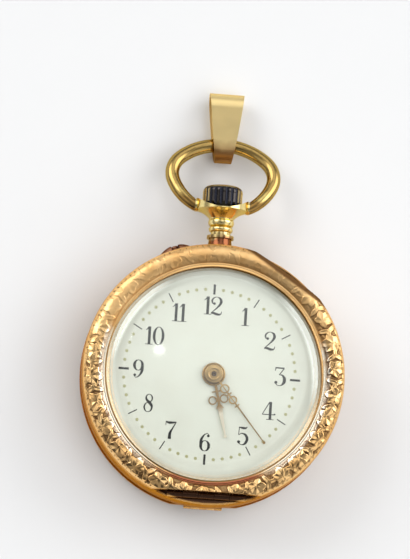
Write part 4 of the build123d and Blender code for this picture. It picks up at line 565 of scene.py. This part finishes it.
def add_blade(centre_u, centre_v, heading, reach, width):
    """A pointed blade; it wins wherever it is deeper inside than those before it."""
    tail, belly, kept_back, window = -0.2, 0.9, -0.25, 1.3
    du = ((U - centre_u + strip_length / 2) % strip_length) - strip_length / 2
    near = np.abs(du[:, 0]) < window * reach
    du, dv = du[near], V[near] - centre_v
    ahead = dv * math.cos(heading) + du * math.sin(heading)
    aside = du * math.cos(heading) - dv * math.sin(heading)
    share = np.clip(ahead / reach, kept_back, 1.0)
    half = width * (1.0 - share ** 2) * (1.0 + belly * np.clip(share, 0.0, 1.0))
    left = half - np.abs(aside)
    left[ahead < tail * reach] = -1.0
    best, hollow, tilt = inside[near], valley[near], facet[near]
    wins = left > best
    best[wins] = left[wins]
    hollow[wins] = np.abs(aside)[wins]
    tilt[wins] = (aside * chance.uniform(-facet_spread, facet_spread))[wins]
    inside[near], valley[near], facet[near] = best, hollow, tilt


# Blades as angle in degrees, length and half width, both as shares of the leaf's size
leaf_blades = ((0.0, 1.0, 0.36), (56.0, 0.88, 0.31), (-56.0, 0.88, 0.31),
               (118.0, 0.7, 0.27), (-118.0, 0.7, 0.27))
sprig_blades = ((28.0, 0.95, 0.17), (-75.0, 0.8, 0.15), (152.0, 0.9, 0.17))
leaf_middle = across_at(leaf_ring)
spacing = strip_length / (2 * leaf_pairs)
for index in range(2 * leaf_pairs):
    flip = 180.0 if index % 2 == 0 else 0.0
    middle_u = (index + 0.5 + chance.uniform(-along_spread, along_spread)) * spacing
    middle_v = leaf_middle + chance.uniform(-across_spread, across_spread)
    middle_v += leaf_stagger if flip else -leaf_stagger
    lean = flip + chance.uniform(-lean_spread, lean_spread)
    size = leaf_size * chance.uniform(*size_limits)
    for angle, reach, width in leaf_blades:
        add_blade(middle_u, middle_v, math.radians(lean + angle), size * reach, size * width)
    for angle, reach, width in sprig_blades:
        heading = math.radians(flip + angle + chance.uniform(-sprig_spread, sprig_spread))
        add_blade(middle_u + spacing / 2, leaf_middle, heading, size * reach, size * width)

leaf = smooth_step(*leaf_edge, inside)
stem_turn = U * np.pi * leaf_pairs * 2.0 / strip_length
stem = bell(V - (leaf_middle + stem_sway * np.cos(stem_turn)), stem_width) * (1.0 - leaf)
tendril_turn = U * np.pi * leaf_pairs * 4.0 / strip_length + tendril_lag
tendril_v = leaf_middle + tendril_sway * np.sin(tendril_turn)
tendril = bell(V - tendril_v, tendril_width) * (1.0 - leaf)
hatch = np.abs(((U * hatch_along + V * hatch_across) % 1.0) - 0.5) * 2.0
punches = chance.uniform(0.0, 1.0, U.shape)
outer_v, inner_v = across_at(band_edges[0]), across_at(band_edges[1])
in_band = smooth_step(outer_v, outer_v + band_fade_out, V)
in_band = in_band * smooth_step(inner_v + band_fade_in, inner_v - band_fade_in, V)
fine_line = bell(V - inner_v - line_inset, line_width)
from_nick = ((U / nick_pitch) % 1.0 - 0.5) * nick_pitch
nicks = bell(from_nick, nick_width) * bell(V - outer_v, nick_reach)
nicks = nicks * smooth_step(*nick_chance, punches[:, :1])
height = leaf * (leaf_rise + vein_slope * valley) + facet * leaf
height += stem_rise * stem + tendril_rise * tendril
ground_cut = ground_depth + hatch_depth * hatch + punch_depth * punches
height -= (1.0 - leaf) * (1.0 - stem) * ground_cut
height -= leaf_punch_depth * leaf * punches
handled = 1.0 - worn_share * smooth_step(*worn_limits, np.sin(turn - worn_middle))[:, None]
height = height * in_band * handled - line_depth * fine_line - nick_depth * nicks
skin_lift = skin_lift_full * smooth_step(0.0, 0.35, V)
skin_lift = skin_lift * smooth_step(across_strip[-1], across_strip[-1] - 0.3, V)
skin_lift -= inner_drop * smooth_step(inner_v, inner_v + 0.2, V)
lifted = skin_lift + height * smooth_step(0.0, 0.3, V)
outline = bell(inside + 0.03, outline_width)
ground = (1.0 - leaf) * (1.0 - 0.6 * stem) * (0.6 + 0.4 * punches)
groove = np.clip(ground * in_band + outline * in_band, 0.0, 1.0)
groove = np.clip(groove * handled + fine_line + nicks, 0.0, 1.0)
print("relief from", round(float(height.min()), 3), "to", round(float(height.max()), 3), "mm")

# %% [markdown]
# ### Bend the strip round the case
#
# The flat for the hinge and the cut-back edge over the thumb lip limit how far out the
# skin may reach at each angle. The underside of the skin lies inside the solid ring.
#
# The height map also says where dirt has settled, as a `hollow` value at each point,
# and painted shade is added to it towards the cut-back edge over the thumb lip. Next to
# the glass the gold has painted reflections, pale at both sides and red in the cove over
# the hinge, and the half of the ring towards the pendant is satin instead of bright.

# %% Build the skin
hinge_flat = 13.59
thumb_flat, thumb_angle = 14.24, 57.0
thumb_edge_shade_from, thumb_edge_shade_full = thumb_flat - 0.75, thumb_flat - 0.4
rim_clearance = 0.005
skin_depth = 0.08
under_rows = [44, 34, 22, 10, 2]
no_limit = 99.0


def behind_flat(flat, facing):
    """How far out the skin may reach where a flat cuts across the ring."""
    return np.where(facing > 0.5, flat / np.maximum(facing, 0.01), no_limit)


from_thumb = np.cos(turn - math.radians(thumb_angle))
limit = np.minimum(behind_flat(hinge_flat, -np.sin(turn)), behind_flat(thumb_flat, from_thumb))
limit = np.minimum(limit, case_radius - rim_clearance)
under = np.repeat((profile[under_rows] - skin_depth * outward[under_rows])[None], columns, 0)
reach = np.concatenate([profile[:, 0] + outward[:, 0] * lifted, under[:, :, 0]], axis=1)
level = np.concatenate([profile[:, 1] + outward[:, 1] * lifted, under[:, :, 1]], axis=1)
reach = np.minimum(reach, limit[:, None])
points = np.stack([reach * np.cos(turn)[:, None], reach * np.sin(turn)[:, None], level], axis=-1)
rows = points.shape[1]
ring_points = points.transpose(1, 0, 2).reshape(-1, 3)
# Painted shade: the ring darkens towards its cut-back edge over the thumb lip.
thumb_edge_shade = smooth_step(thumb_edge_shade_from, thumb_edge_shade_full, profile[:, 0] * from_thumb[:, None])
groove = np.maximum(groove, thumb_edge_shade)

# Painted reflections next to the glass: red in the cove over the hinge and pale at both sides.
red_reflection_edge, red_reflection_front = (12.98, 12.88), (-10.6, -11.6)
pale_reflection_edge, pale_reflection_sides, pale_reflection_top = (13.3, 13.1), (5.5, 8.0), (7.0, 3.0)
satin_from = (0.0, 8.0)
engraved_gold, g = finish_of("engraved_gold")
# The hollow attribute holds dirt in the engraving and the painted shade by the thumb lip.
dirt_and_shade = g.node("ShaderNodeAttribute", {"attribute_name": "hollow"}, out="Fac")
stains = g.stains(0.5, 0.4)
marks = g.noise(g.place(), 9.0, 3.0)
worn_gold = g.mix(stains, rgb(0.95, 0.62, 0.28), rgb(0.86, 0.5, 0.19))
place = g.place()
from_axis, x, y = g.distance(place), g.axis(place, "X"), g.axis(place, "Y")
red_reflection = g.fit(from_axis, *red_reflection_edge) * g.fit(y + stains, *red_reflection_front)
pale_reflection = g.fit(from_axis, *pale_reflection_edge) * g.fit(g.maths("ABSOLUTE", x), *pale_reflection_sides)
pale_reflection = pale_reflection * g.fit(y + stains * 3.0, *pale_reflection_top)
satin = g.fit(y + stains * 2.0, *satin_from)
tinted = g.mix(red_reflection, g.mix(pale_reflection, worn_gold, rgb(1.0, 0.9, 0.72)), rgb(0.5, 0.17, 0.08))
g.surface({
    "Base Color": g.mix(dirt_and_shade * 0.95, tinted, rgb(0.15, 0.07, 0.025)),
    "Metallic": 1.0,
    "Specular Tint": rgb(0.9, 0.6, 0.3),
    "Roughness": dirt_and_shade * 0.25 + marks * 0.12 + satin * 0.24 + 0.1,
    "Normal": g.bump(marks, 0.004),
})
ring = piece("engraved_ring", ring_points, sheet_faces(rows, columns), engraved_gold, "bezel")
shade = np.zeros(rows * columns, np.float32)
shade[: len(profile) * columns] = groove.T.reshape(-1)
ring.data.attributes.new("hollow", "FLOAT", "POINT").data.foreach_set("value", shade)
print("engraved ring", len(ring.data.polygons), "faces")

# %% [markdown]
# ## Printed numerals
#
# The dial painter's numerals have strong stems, hair-thin joins and round drops. Each
# numeral is a few strokes: a path through points with a pen width at each point, drawn
# out smoothly and cut as a hair-thin plate on the enamel.

# %% Strokes


def smooth_path(points, steps=7):
    """A rounded path through points; each point is x, y and pen width."""
    knots = np.asarray(points, float)
    knots = np.concatenate([2 * knots[:1] - knots[1:2], knots, 2 * knots[-1:] - knots[-2:-1]])
    out = []
    for a, b, c, d in zip(knots, knots[1:], knots[2:], knots[3:]):
        for t in np.linspace(0.0, 1.0, steps, endpoint=False):
            out.append(0.5 * (2 * b + (c - a) * t + (2 * a - 5 * b + 4 * c - d) * t ** 2
                              + (3 * b - a - 3 * c + d) * t ** 3))
    out.append(knots[-2])
    return np.array(out)


def oval(x, y, half_x, half_y, thick, thin, steps=28):
    """A closed loop whose pen is thick at the sides and thin above and below."""
    angle = np.linspace(0.0, 2.0 * np.pi, steps + 1)
    width = thin + (thick - thin) * np.abs(np.cos(angle)) ** 1.6
    return np.stack([x + half_x * np.cos(angle), y + half_y * np.sin(angle), width], axis=1)


def drop(x, y, radius, count=9, least=0.004):
    """A round drop, as a short stroke that is never thinner than the least width."""
    across = np.linspace(-1.0, 1.0, count)
    width = 2.0 * radius * np.sqrt(np.clip(1.0 - across ** 2, 0.0, 1.0)) + least
    return np.stack([np.full(count, x), y + radius * across, width], axis=1)


def serif(x, y, half):
    """A fine line across the end of a strong stem."""
    return np.array([[x - half, y, serif_pen], [x + half, y, serif_pen]])


def line(*points):
    """A straight stroke."""
    return np.array(points)


serif_pen = 0.035
bold, hair = 0.145, 0.032
strokes = {
    "0": [oval(0, 0.5, 0.2, 0.48, bold, hair)],
    "1": [line([0, 0.02, bold], [0, 0.98, bold]), serif(0, 0.02, 0.2),
          smooth_path([[-0.2, 0.78, hair], [-0.12, 0.84, 0.05], [-0.04, 0.95, 0.08]])],
    "2": [smooth_path([[-0.08, 0.56, hair], [-0.19, 0.66, 0.07], [-0.2, 0.82, 0.09],
                       [-0.1, 0.95, 0.05], [0.02, 0.98, hair], [0.15, 0.9, 0.11],
                       [0.2, 0.74, bold], [0.13, 0.54, 0.11], [-0.05, 0.3, 0.06],
                       [-0.23, 0.1, hair]]),
          drop(-0.1, 0.62, 0.07),
          smooth_path([[-0.24, 0.08, 0.04], [-0.12, 0.1, 0.12], [0.02, 0.05, 0.13],
                       [0.14, 0.04, 0.1], [0.22, 0.1, 0.05], [0.24, 0.22, hair]])],
    "3": [line([-0.22, 0.97, 0.07], [0.18, 0.97, 0.07]),
          line([-0.2, 0.97, 0.05], [-0.22, 0.8, hair]),
          smooth_path([[0.18, 0.96, 0.05], [0.06, 0.76, 0.05], [-0.04, 0.6, 0.045]]),
          smooth_path([[-0.04, 0.6, hair], [0.1, 0.58, 0.08], [0.2, 0.42, 0.16],
                       [0.19, 0.2, 0.16], [0.06, 0.03, 0.05], [-0.1, 0.03, hair],
                       [-0.2, 0.14, 0.05]]),
          drop(-0.17, 0.18, 0.08)],
    "4": [line([0.08, 0.02, bold], [0.08, 0.98, bold]), serif(0.08, 0.02, 0.17),
          line([0.04, 0.98, 0.05], [-0.27, 0.3, 0.04]),
          line([-0.28, 0.29, 0.045], [0.3, 0.29, 0.045]), drop(0.28, 0.31, 0.045)],
    "5": [smooth_path([[-0.15, 0.96, 0.05], [-0.02, 0.93, 0.12], [0.12, 0.93, 0.1],
                       [0.2, 1.0, 0.03]]),
          line([-0.16, 0.98, 0.04], [-0.18, 0.56, 0.04]),
          smooth_path([[-0.18, 0.54, hair], [-0.04, 0.63, 0.05], [0.13, 0.56, 0.12],
                       [0.21, 0.34, bold], [0.13, 0.1, 0.12], [-0.03, 0.02, 0.04],
                       [-0.18, 0.12, 0.05]]),
          drop(-0.16, 0.17, 0.08)],
    "6": [oval(0.01, 0.3, 0.18, 0.28, 0.15, hair),
          smooth_path([[-0.17, 0.32, 0.15], [-0.16, 0.62, 0.14], [-0.04, 0.88, 0.07],
                       [0.1, 0.97, hair], [0.18, 0.88, 0.04]]),
          drop(0.15, 0.84, 0.07)],
    "7": [smooth_path([[-0.23, 0.98, 0.05], [-0.08, 0.92, 0.13], [0.1, 0.94, 0.1],
                       [0.23, 0.97, 0.05]]),
          line([-0.22, 0.99, 0.04], [-0.23, 0.78, hair]),
          smooth_path([[0.23, 0.96, 0.05], [0.08, 0.62, 0.07], [-0.02, 0.36, 0.14],
                       [-0.04, 0.04, 0.18]])],
    "8": [oval(0.02, 0.76, 0.14, 0.21, 0.08, hair), oval(-0.01, 0.27, 0.17, 0.25, 0.09, hair),
          smooth_path([[-0.12, 0.82, 0.07], [-0.08, 0.66, 0.12], [0.04, 0.52, 0.16],
                       [0.14, 0.38, 0.14], [0.16, 0.24, 0.09]])],
    "9": [oval(-0.01, 0.7, 0.18, 0.28, 0.15, hair),
          smooth_path([[0.17, 0.68, 0.15], [0.16, 0.38, 0.14], [0.04, 0.12, 0.07],
                       [-0.1, 0.03, hair], [-0.18, 0.12, 0.04]]),
          drop(-0.15, 0.16, 0.07)],
}
usual_half, narrow_half, wide_half = 0.29, 0.2, 0.32
half_widths = dict.fromkeys(strokes, usual_half) | {"1": narrow_half, "0": wide_half}
print(sum(len(s) for s in strokes.values()), "strokes for ten digits")

# %% [markdown]
# ### Cut the strokes and set them round the dial
#
# The numerals stand upright all round. Two digits share one place, a little narrower.
# The dial painter's hand wasn't even, so small shifts, set from the photograph,
# move most numerals a little off the ring. Strokes that cross differ in thickness by
# less than a thousandth of a millimetre, so that no two faces coincide.

# %% Numerals
print_sunk = 0.01
print_bottom = dial_top - print_sunk
print_rise = 0.012
stroke_step = 0.0007
strokes_at_most = 4
numeral_height = 2.12
numeral_width = 1.2
numeral_ring = (8.06, 7.86)
print_middle = (-0.46, 0.06)
pair_start, pair_step = 0.94, 0.88
set_by_eye = {1: (-0.3, 0.04), 2: (-0.32, 0.34), 3: (0.0, 0.24), 4: (0.0, 0.18),
              5: (0.16, -0.04), 6: (-0.08, 0.0), 8: (0.24, 0.1), 9: (-0.06, 0.0),
              10: (0.48, 0.0), 11: (0.18, 0.0), 12: (-0.1, 0.0)}


def stroke_solid(path, bottom, top):
    """Points and faces of a thin plate along a path with widths."""
    spine, width = path[:, :2], path[:, 2]
    run = np.gradient(spine, axis=0)
    run /= np.maximum(np.hypot(*run.T), 1e-9)[:, None]
    side = np.stack([-run[:, 1], run[:, 0]], axis=1) * width[:, None] / 2.0
    left, right = spine + side, spine - side
    count = len(path)
    points = np.zeros((count, 4, 3))
    points[:, 0, :2] = points[:, 3, :2] = right
    points[:, 1, :2] = points[:, 2, :2] = left
    points[:, :2, 2], points[:, 2:, 2] = bottom, top
    faces = [(0, 1, 2, 3), tuple(4 * (count - 1) + k for k in (3, 2, 1, 0))]
    for i in range(count - 1):
        for k in range(4):
            a, b = 4 * i + k, 4 * i + (k + 1) % 4
            faces.append((a, a + 4, b + 4, b))
    return points.reshape(-1, 3), faces


numeral_points, numeral_faces = [], []
for hour in range(1, 13):
    clock = math.radians(90.0 - 30.0 * hour)
    middle = np.array([print_middle[0] + numeral_ring[0] * math.cos(clock),
                       print_middle[1] + numeral_ring[1] * math.sin(clock)])
    middle += set_by_eye.get(hour, (0.0, 0.0))
    digits = str(hour)
    halves = [half_widths[digit] for digit in digits]
    pen = -sum(halves) * (pair_start if len(digits) > 1 else 1.0)
    for order, (digit, half) in enumerate(zip(digits, halves)):
        pen += half
        for layer, path in enumerate(strokes[digit]):
            placed = path.copy()
            wide = 1.0 if digit == "1" else numeral_width
            placed[:, 0] = middle[0] + (path[:, 0] * wide + pen) * numeral_height
            placed[:, 1] = middle[1] + (path[:, 1] - 0.5) * numeral_height
            placed[:, 2] *= numeral_height
            top = print_bottom + print_sunk + print_rise
            top += stroke_step * (layer + strokes_at_most * order)
            points, faces = stroke_solid(placed, print_bottom, top)
            first = sum(len(p) for p in numeral_points)
            numeral_points.append(points)
            numeral_faces += [tuple(f + first for f in face) for face in faces]
        pen += half * pair_step
numerals = piece("dial_numerals", np.concatenate(numeral_points), numeral_faces, ink, "case",
                 smooth=False)
print("numerals", len(numerals.data.polygons), "faces")

# %% [markdown]
# ## Ticks and dots
#
# Long ticks mark the hours, the four quarter hours heavier, and four small gilt dots
# lie between two hours. They repeat round the dial, so one Geometry Nodes tree places
# a shape on a ring of points, turns it outwards and leaves out every so-many-th.

# %% A ring of copies


def ring_tree():
    """Geometry Nodes: copies of a shape round a ring, each turned outwards."""
    tree = bpy.data.node_groups.new("ring_of_copies", "GeometryNodeTree")
    face = tree.interface
    for name, kind in (("Shape", "NodeSocketObject"), ("Count", "NodeSocketInt"),
                       ("Radius", "NodeSocketFloat"), ("Middle", "NodeSocketVector"),
                       ("Every", "NodeSocketInt"), ("Keep", "NodeSocketInt"),
                       ("Finish", "NodeSocketMaterial")):
        face.new_socket(name, in_out="INPUT", socket_type=kind)
    face.new_socket("Geometry", in_out="OUTPUT", socket_type="NodeSocketGeometry")
    g = Graph(tree)
    given = tree.nodes.new("NodeGroupInput")
    ask = {s.name: Wire(g, s) for s in given.outputs if s.name}
    circle = g.node("GeometryNodeMeshCircle", {},
                    {"Vertices": ask["Count"], "Radius": ask["Radius"]})
    number = g.node("GeometryNodeInputIndex")
    equal = {"data_type": "INT", "operation": "EQUAL"}
    first_of_group = g.node("FunctionNodeCompare", equal,
                            {2: g.maths("MODULO", number, ask["Every"]), 3: 0})
    kept = g.node("FunctionNodeCompare", equal, {2: first_of_group, 3: ask["Keep"]})
    angle = number * (2.0 * math.pi) / ask["Count"]
    spin = g.node("ShaderNodeCombineXYZ", {}, {"Z": angle})
    shape = g.node("GeometryNodeObjectInfo", {}, {"Object": ask["Shape"]}, "Geometry")
    copies = g.node("GeometryNodeInstanceOnPoints", {},
                    {"Points": circle, "Instance": shape, "Rotation": spin, "Selection": kept})
    solid = g.node("GeometryNodeRealizeInstances", {}, {"Geometry": copies})
    raised = g.node("GeometryNodeTransform", {},
                    {"Geometry": solid, "Translation": ask["Middle"]})
    painted = g.node("GeometryNodeSetMaterial", {}, {"Geometry": raised, "Material": ask["Finish"]})
    end = tree.nodes.new("NodeGroupOutput")
    tree.links.new(painted.socket, end.inputs["Geometry"])
    return tree


ring_of_copies = ring_tree()


def copies_on_ring(name, shape, material, body, **values):
    """The tree's result as a plain mesh object on a body."""
    holder = linked(name + "_maker", bpy.data.meshes.new(name + "_maker"))
    modifier = holder.modifiers.new("ring", "NODES")
    modifier.node_group = ring_of_copies
    given = {s.name: s.identifier for s in ring_of_copies.interface.items_tree
             if s.in_out == "INPUT"}
    for key, value in {"Shape": shape, "Finish": material, **values}.items():
        modifier[given[key]] = value
    settled = holder.evaluated_get(bpy.context.evaluated_depsgraph_get())
    mesh = bpy.data.meshes.new_from_object(settled)
    bpy.data.objects.remove(holder)
    bpy.data.objects.remove(shape)
    mesh.name = name
    made = linked(name, mesh)
    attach(made, body)
    return made


def plate(name, outline):
    """A flat plate with this outline, from just under the enamel to the print's height."""
    count = len(outline)
    points = [(x * MM, y * MM, z * MM) for z in (-print_sunk, print_rise) for x, y in outline]
    faces = [tuple(range(count))[::-1], tuple(range(count, 2 * count))]
    faces += [(i, (i + 1) % count, count + (i + 1) % count, count + i) for i in range(count)]
    mesh = bpy.data.meshes.new(name)
    mesh.from_pydata(points, [], faces)
    return linked(name, mesh)


def tick_outline(length, width):
    x, y = length / 2, width / 2
    return [(-x, -y), (x, -y), (x, y), (-x, y)]


def dot_outline(radius, sides=14):
    angles = [2 * math.pi * i / sides for i in range(sides)]
    return [(radius * math.cos(angle), radius * math.sin(angle)) for angle in angles]


mark_radius = 9.8
heavy_tick, light_tick, dot_radius = (1.17, 0.25), (1.12, 0.12), 0.19
mark_ring = {"Radius": mark_radius * MM, "Middle": (print_middle[0] * MM, 0.0, dial_top * MM)}
heavy = copies_on_ring("ticks_heavy", plate("heavy", tick_outline(*heavy_tick)), ink, "case",
                       Count=12, Every=3, Keep=1, **mark_ring)
light = copies_on_ring("ticks_light", plate("light", tick_outline(*light_tick)), ink, "case",
                       Count=12, Every=3, Keep=0, **mark_ring)
dots = copies_on_ring("minute_dots", plate("dot", dot_outline(dot_radius)), dot_gold, "case",
                      Count=60, Every=5, Keep=0, **mark_ring)
print("ticks and dots", [len(o.data.polygons) for o in (heavy, light, dots)], "faces")

# %% [markdown]
# ## Turned hubs
#
# Each hand is riveted on a small turned hub with steps and a groove that catch the
# light as fine rings. A hub is a profile of radii and rises above its hand, spun round
# the axis.

# %% Hubs


def spun(name, profile, foot, material, body, sides=96):
    """A closed profile of radius and rise pairs, spun round the Z axis."""
    angle = np.linspace(0.0, 2.0 * np.pi, sides, endpoint=False)
    radius, rise = np.array(profile, float).T
    points = np.stack([radius[:, None] * np.cos(angle), radius[:, None] * np.sin(angle),
                       np.repeat((foot + rise)[:, None], sides, 1)], axis=-1)
    return piece(name, points.reshape(-1, 3), sheet_faces(len(profile), sides), material, body)


hour_steps = [(1.28, -0.05), (1.33, 0.02), (1.28, 0.08), (1.2, 0.06), (1.12, 0.03),
              (1.08, -0.05)]
minute_steps = [(1.04, 0.02), (1.06, 0.09), (1.0, 0.14), (0.92, 0.11), (0.86, 0.13),
                (0.78, 0.12), (0.72, 0.15), (0.6, 0.14), (0.52, 0.1), (0.5, 0.02)]
hubs = [spun("hour_hub", hour_steps, hour_top, bronze, "hour"),
        spun("minute_hub", minute_steps, minute_top, bronze, "minute")]
print("hubs", [len(hub.data.polygons) for hub in hubs], "faces")

# %% [markdown]
# ## Table, camera and light
#
# The picture is taken from nearly straight above with a long lens, slightly from the
# six o'clock side and from the left, and the watch is turned a little clockwise. The
# table is matt and almost white. A large soft lamp stands to the right and towards six
# o'clock, and a weak one opposite fills its shadow. Neither shows in the metal: that
# mirrors the room, whose bright patches and dark gaps give the gold its contrast. The
# camera itself sees an even pale grey behind the table.

# %% Table
table_finish, g = finish_of("table")
paper = g.noise(g.place(), 0.2, 2.0)
g.surface({
    "Base Color": g.mix(paper, rgb(0.77, 0.775, 0.78), rgb(0.76, 0.765, 0.77)),
    "Roughness": 0.9,
    "Specular IOR Level": 0.1,
})
table_half = 1.5
table_level = -2e-5
corners = [(x * table_half, y * table_half, table_level)
           for x, y in ((-1, -1), (1, -1), (1, 1), (-1, 1))]
table_mesh = bpy.data.meshes.new("table")
table_mesh.from_pydata(corners, [], [(0, 1, 2, 3)])
table_mesh.materials.append(table_finish)
table = linked("table", table_mesh)
print("table", 2 * table_half, "m wide")

# %% Camera
picture_height = 559
mm_per_pixel = 0.11437
dial_right, dial_down = 6.5, 98.5
seen_level = 4.3
tilt_to_six, tilt_to_left, roll = math.radians(9.5), math.radians(4.0), math.radians(3.5)
distance = 0.6
sensor = 36.0
seen = Vector((0.0, 0.0, seen_level)) * MM
back = Vector((-math.sin(tilt_to_left), -math.sin(tilt_to_six), 1.0)).normalized()
right = Vector((0.0, 1.0, 0.0)).cross(back).normalized()
up = back.cross(right)
right, up = (right * math.cos(roll) + up * math.sin(roll),
             up * math.cos(roll) - right * math.sin(roll))
aim = seen - right * (dial_right * mm_per_pixel * MM) + up * (dial_down * mm_per_pixel * MM)
camera_data = bpy.data.cameras.new("camera")
camera_data.sensor_width = sensor
camera_data.lens = sensor * distance / (picture_height * mm_per_pixel * MM)
camera_data.clip_start, camera_data.clip_end = 0.05, 5.0
camera = linked("camera", camera_data)
camera.matrix_world = Matrix((
    (right.x, up.x, back.x, aim.x + back.x * distance),
    (right.y, up.y, back.y, aim.y + back.y * distance),
    (right.z, up.z, back.z, aim.z + back.z * distance),
    (0.0, 0.0, 0.0, 1.0),
))
bpy.context.scene.camera = camera
print("lens", round(camera_data.lens), "mm")

# %% Light


def lamp(name, direction, far, size, power):
    """A square soft lamp that looks at the watch and isn't mirrored in it."""
    data = bpy.data.lights.new(name, "AREA")
    data.shape, data.size, data.energy = "SQUARE", size, power
    made = linked(name, data)
    way = Vector(direction).normalized()
    made.location = way * far
    made.rotation_mode = "QUATERNION"
    made.rotation_quaternion = way.to_track_quat("Z", "Y")
    made.visible_glossy = False


lamp("key_lamp", (0.4, -0.25, 1.0), far=0.6, size=0.5, power=1.3)
lamp("fill_lamp", (-0.9, 0.5, 0.8), far=0.7, size=0.3, power=0.4)

world = bpy.data.worlds.new("room")
bpy.context.scene.world = world
world.use_nodes = True
g = Graph(world.node_tree)
way = g.node("ShaderNodeTexCoord", out="Generated")


def patch(direction, full, none):
    """1 inside a round patch of the room, fading to 0; both limits in degrees."""
    towards = Vector(direction).normalized()
    near = g.vector("DOT_PRODUCT", way, tuple(towards), "Value")
    return g.fit(near, math.cos(math.radians(none)), math.cos(math.radians(full)))


# Direction, full and faded limit in degrees, and by how much the room is brighter or darker
bright_patches = (
    ((0.8, 0.4, 0.47), 18.0, 28.0, 3.0),
    ((-0.62, 0.58, 0.53), 15.0, 25.0, 3.0),
    ((0.8, -0.42, 0.6), 14.0, 26.0, 0.7),
    ((-0.75, 0.0, 0.66), 12.0, 22.0, 0.6),
    ((0.12, 0.3, 1.0), 8.0, 18.0, 0.85),
    ((0.07, 0.75, 0.66), 10.0, 24.0, 1.0),
    ((-0.05, 0.19, 1.0), 0.15, 0.8, 6.0),
)
dark_patches = (
    ((-0.07, -0.165, 1.0), 8.0, 17.0, 0.8),
    ((-0.5, -0.8, 0.35), 14.0, 26.0, 0.8),
)
room_level, backdrop = 0.34, 0.86
room = room_level
for direction, full, none, gain in bright_patches:
    room = room + patch(direction, full, none) * gain
for direction, full, none, loss in dark_patches:
    room = room * (1.0 - patch(direction, full, none) * loss)
grey = g.node("ShaderNodeCombineColor", {}, {0: room, 1: room, 2: room})
shown = g.node("ShaderNodeLightPath", out="Is Camera Ray")
seen_colour = g.mix(shown, grey, rgb(backdrop, backdrop, backdrop))
lit = g.node("ShaderNodeBackground", {}, {"Color": seen_colour, "Strength": 1.0})
g.node("ShaderNodeOutputWorld", {}, {"Surface": lit})
bpy.context.scene.view_settings.view_transform = "Standard"
print("two lamps,", len(bright_patches), "bright and", len(dark_patches), "dark patches")
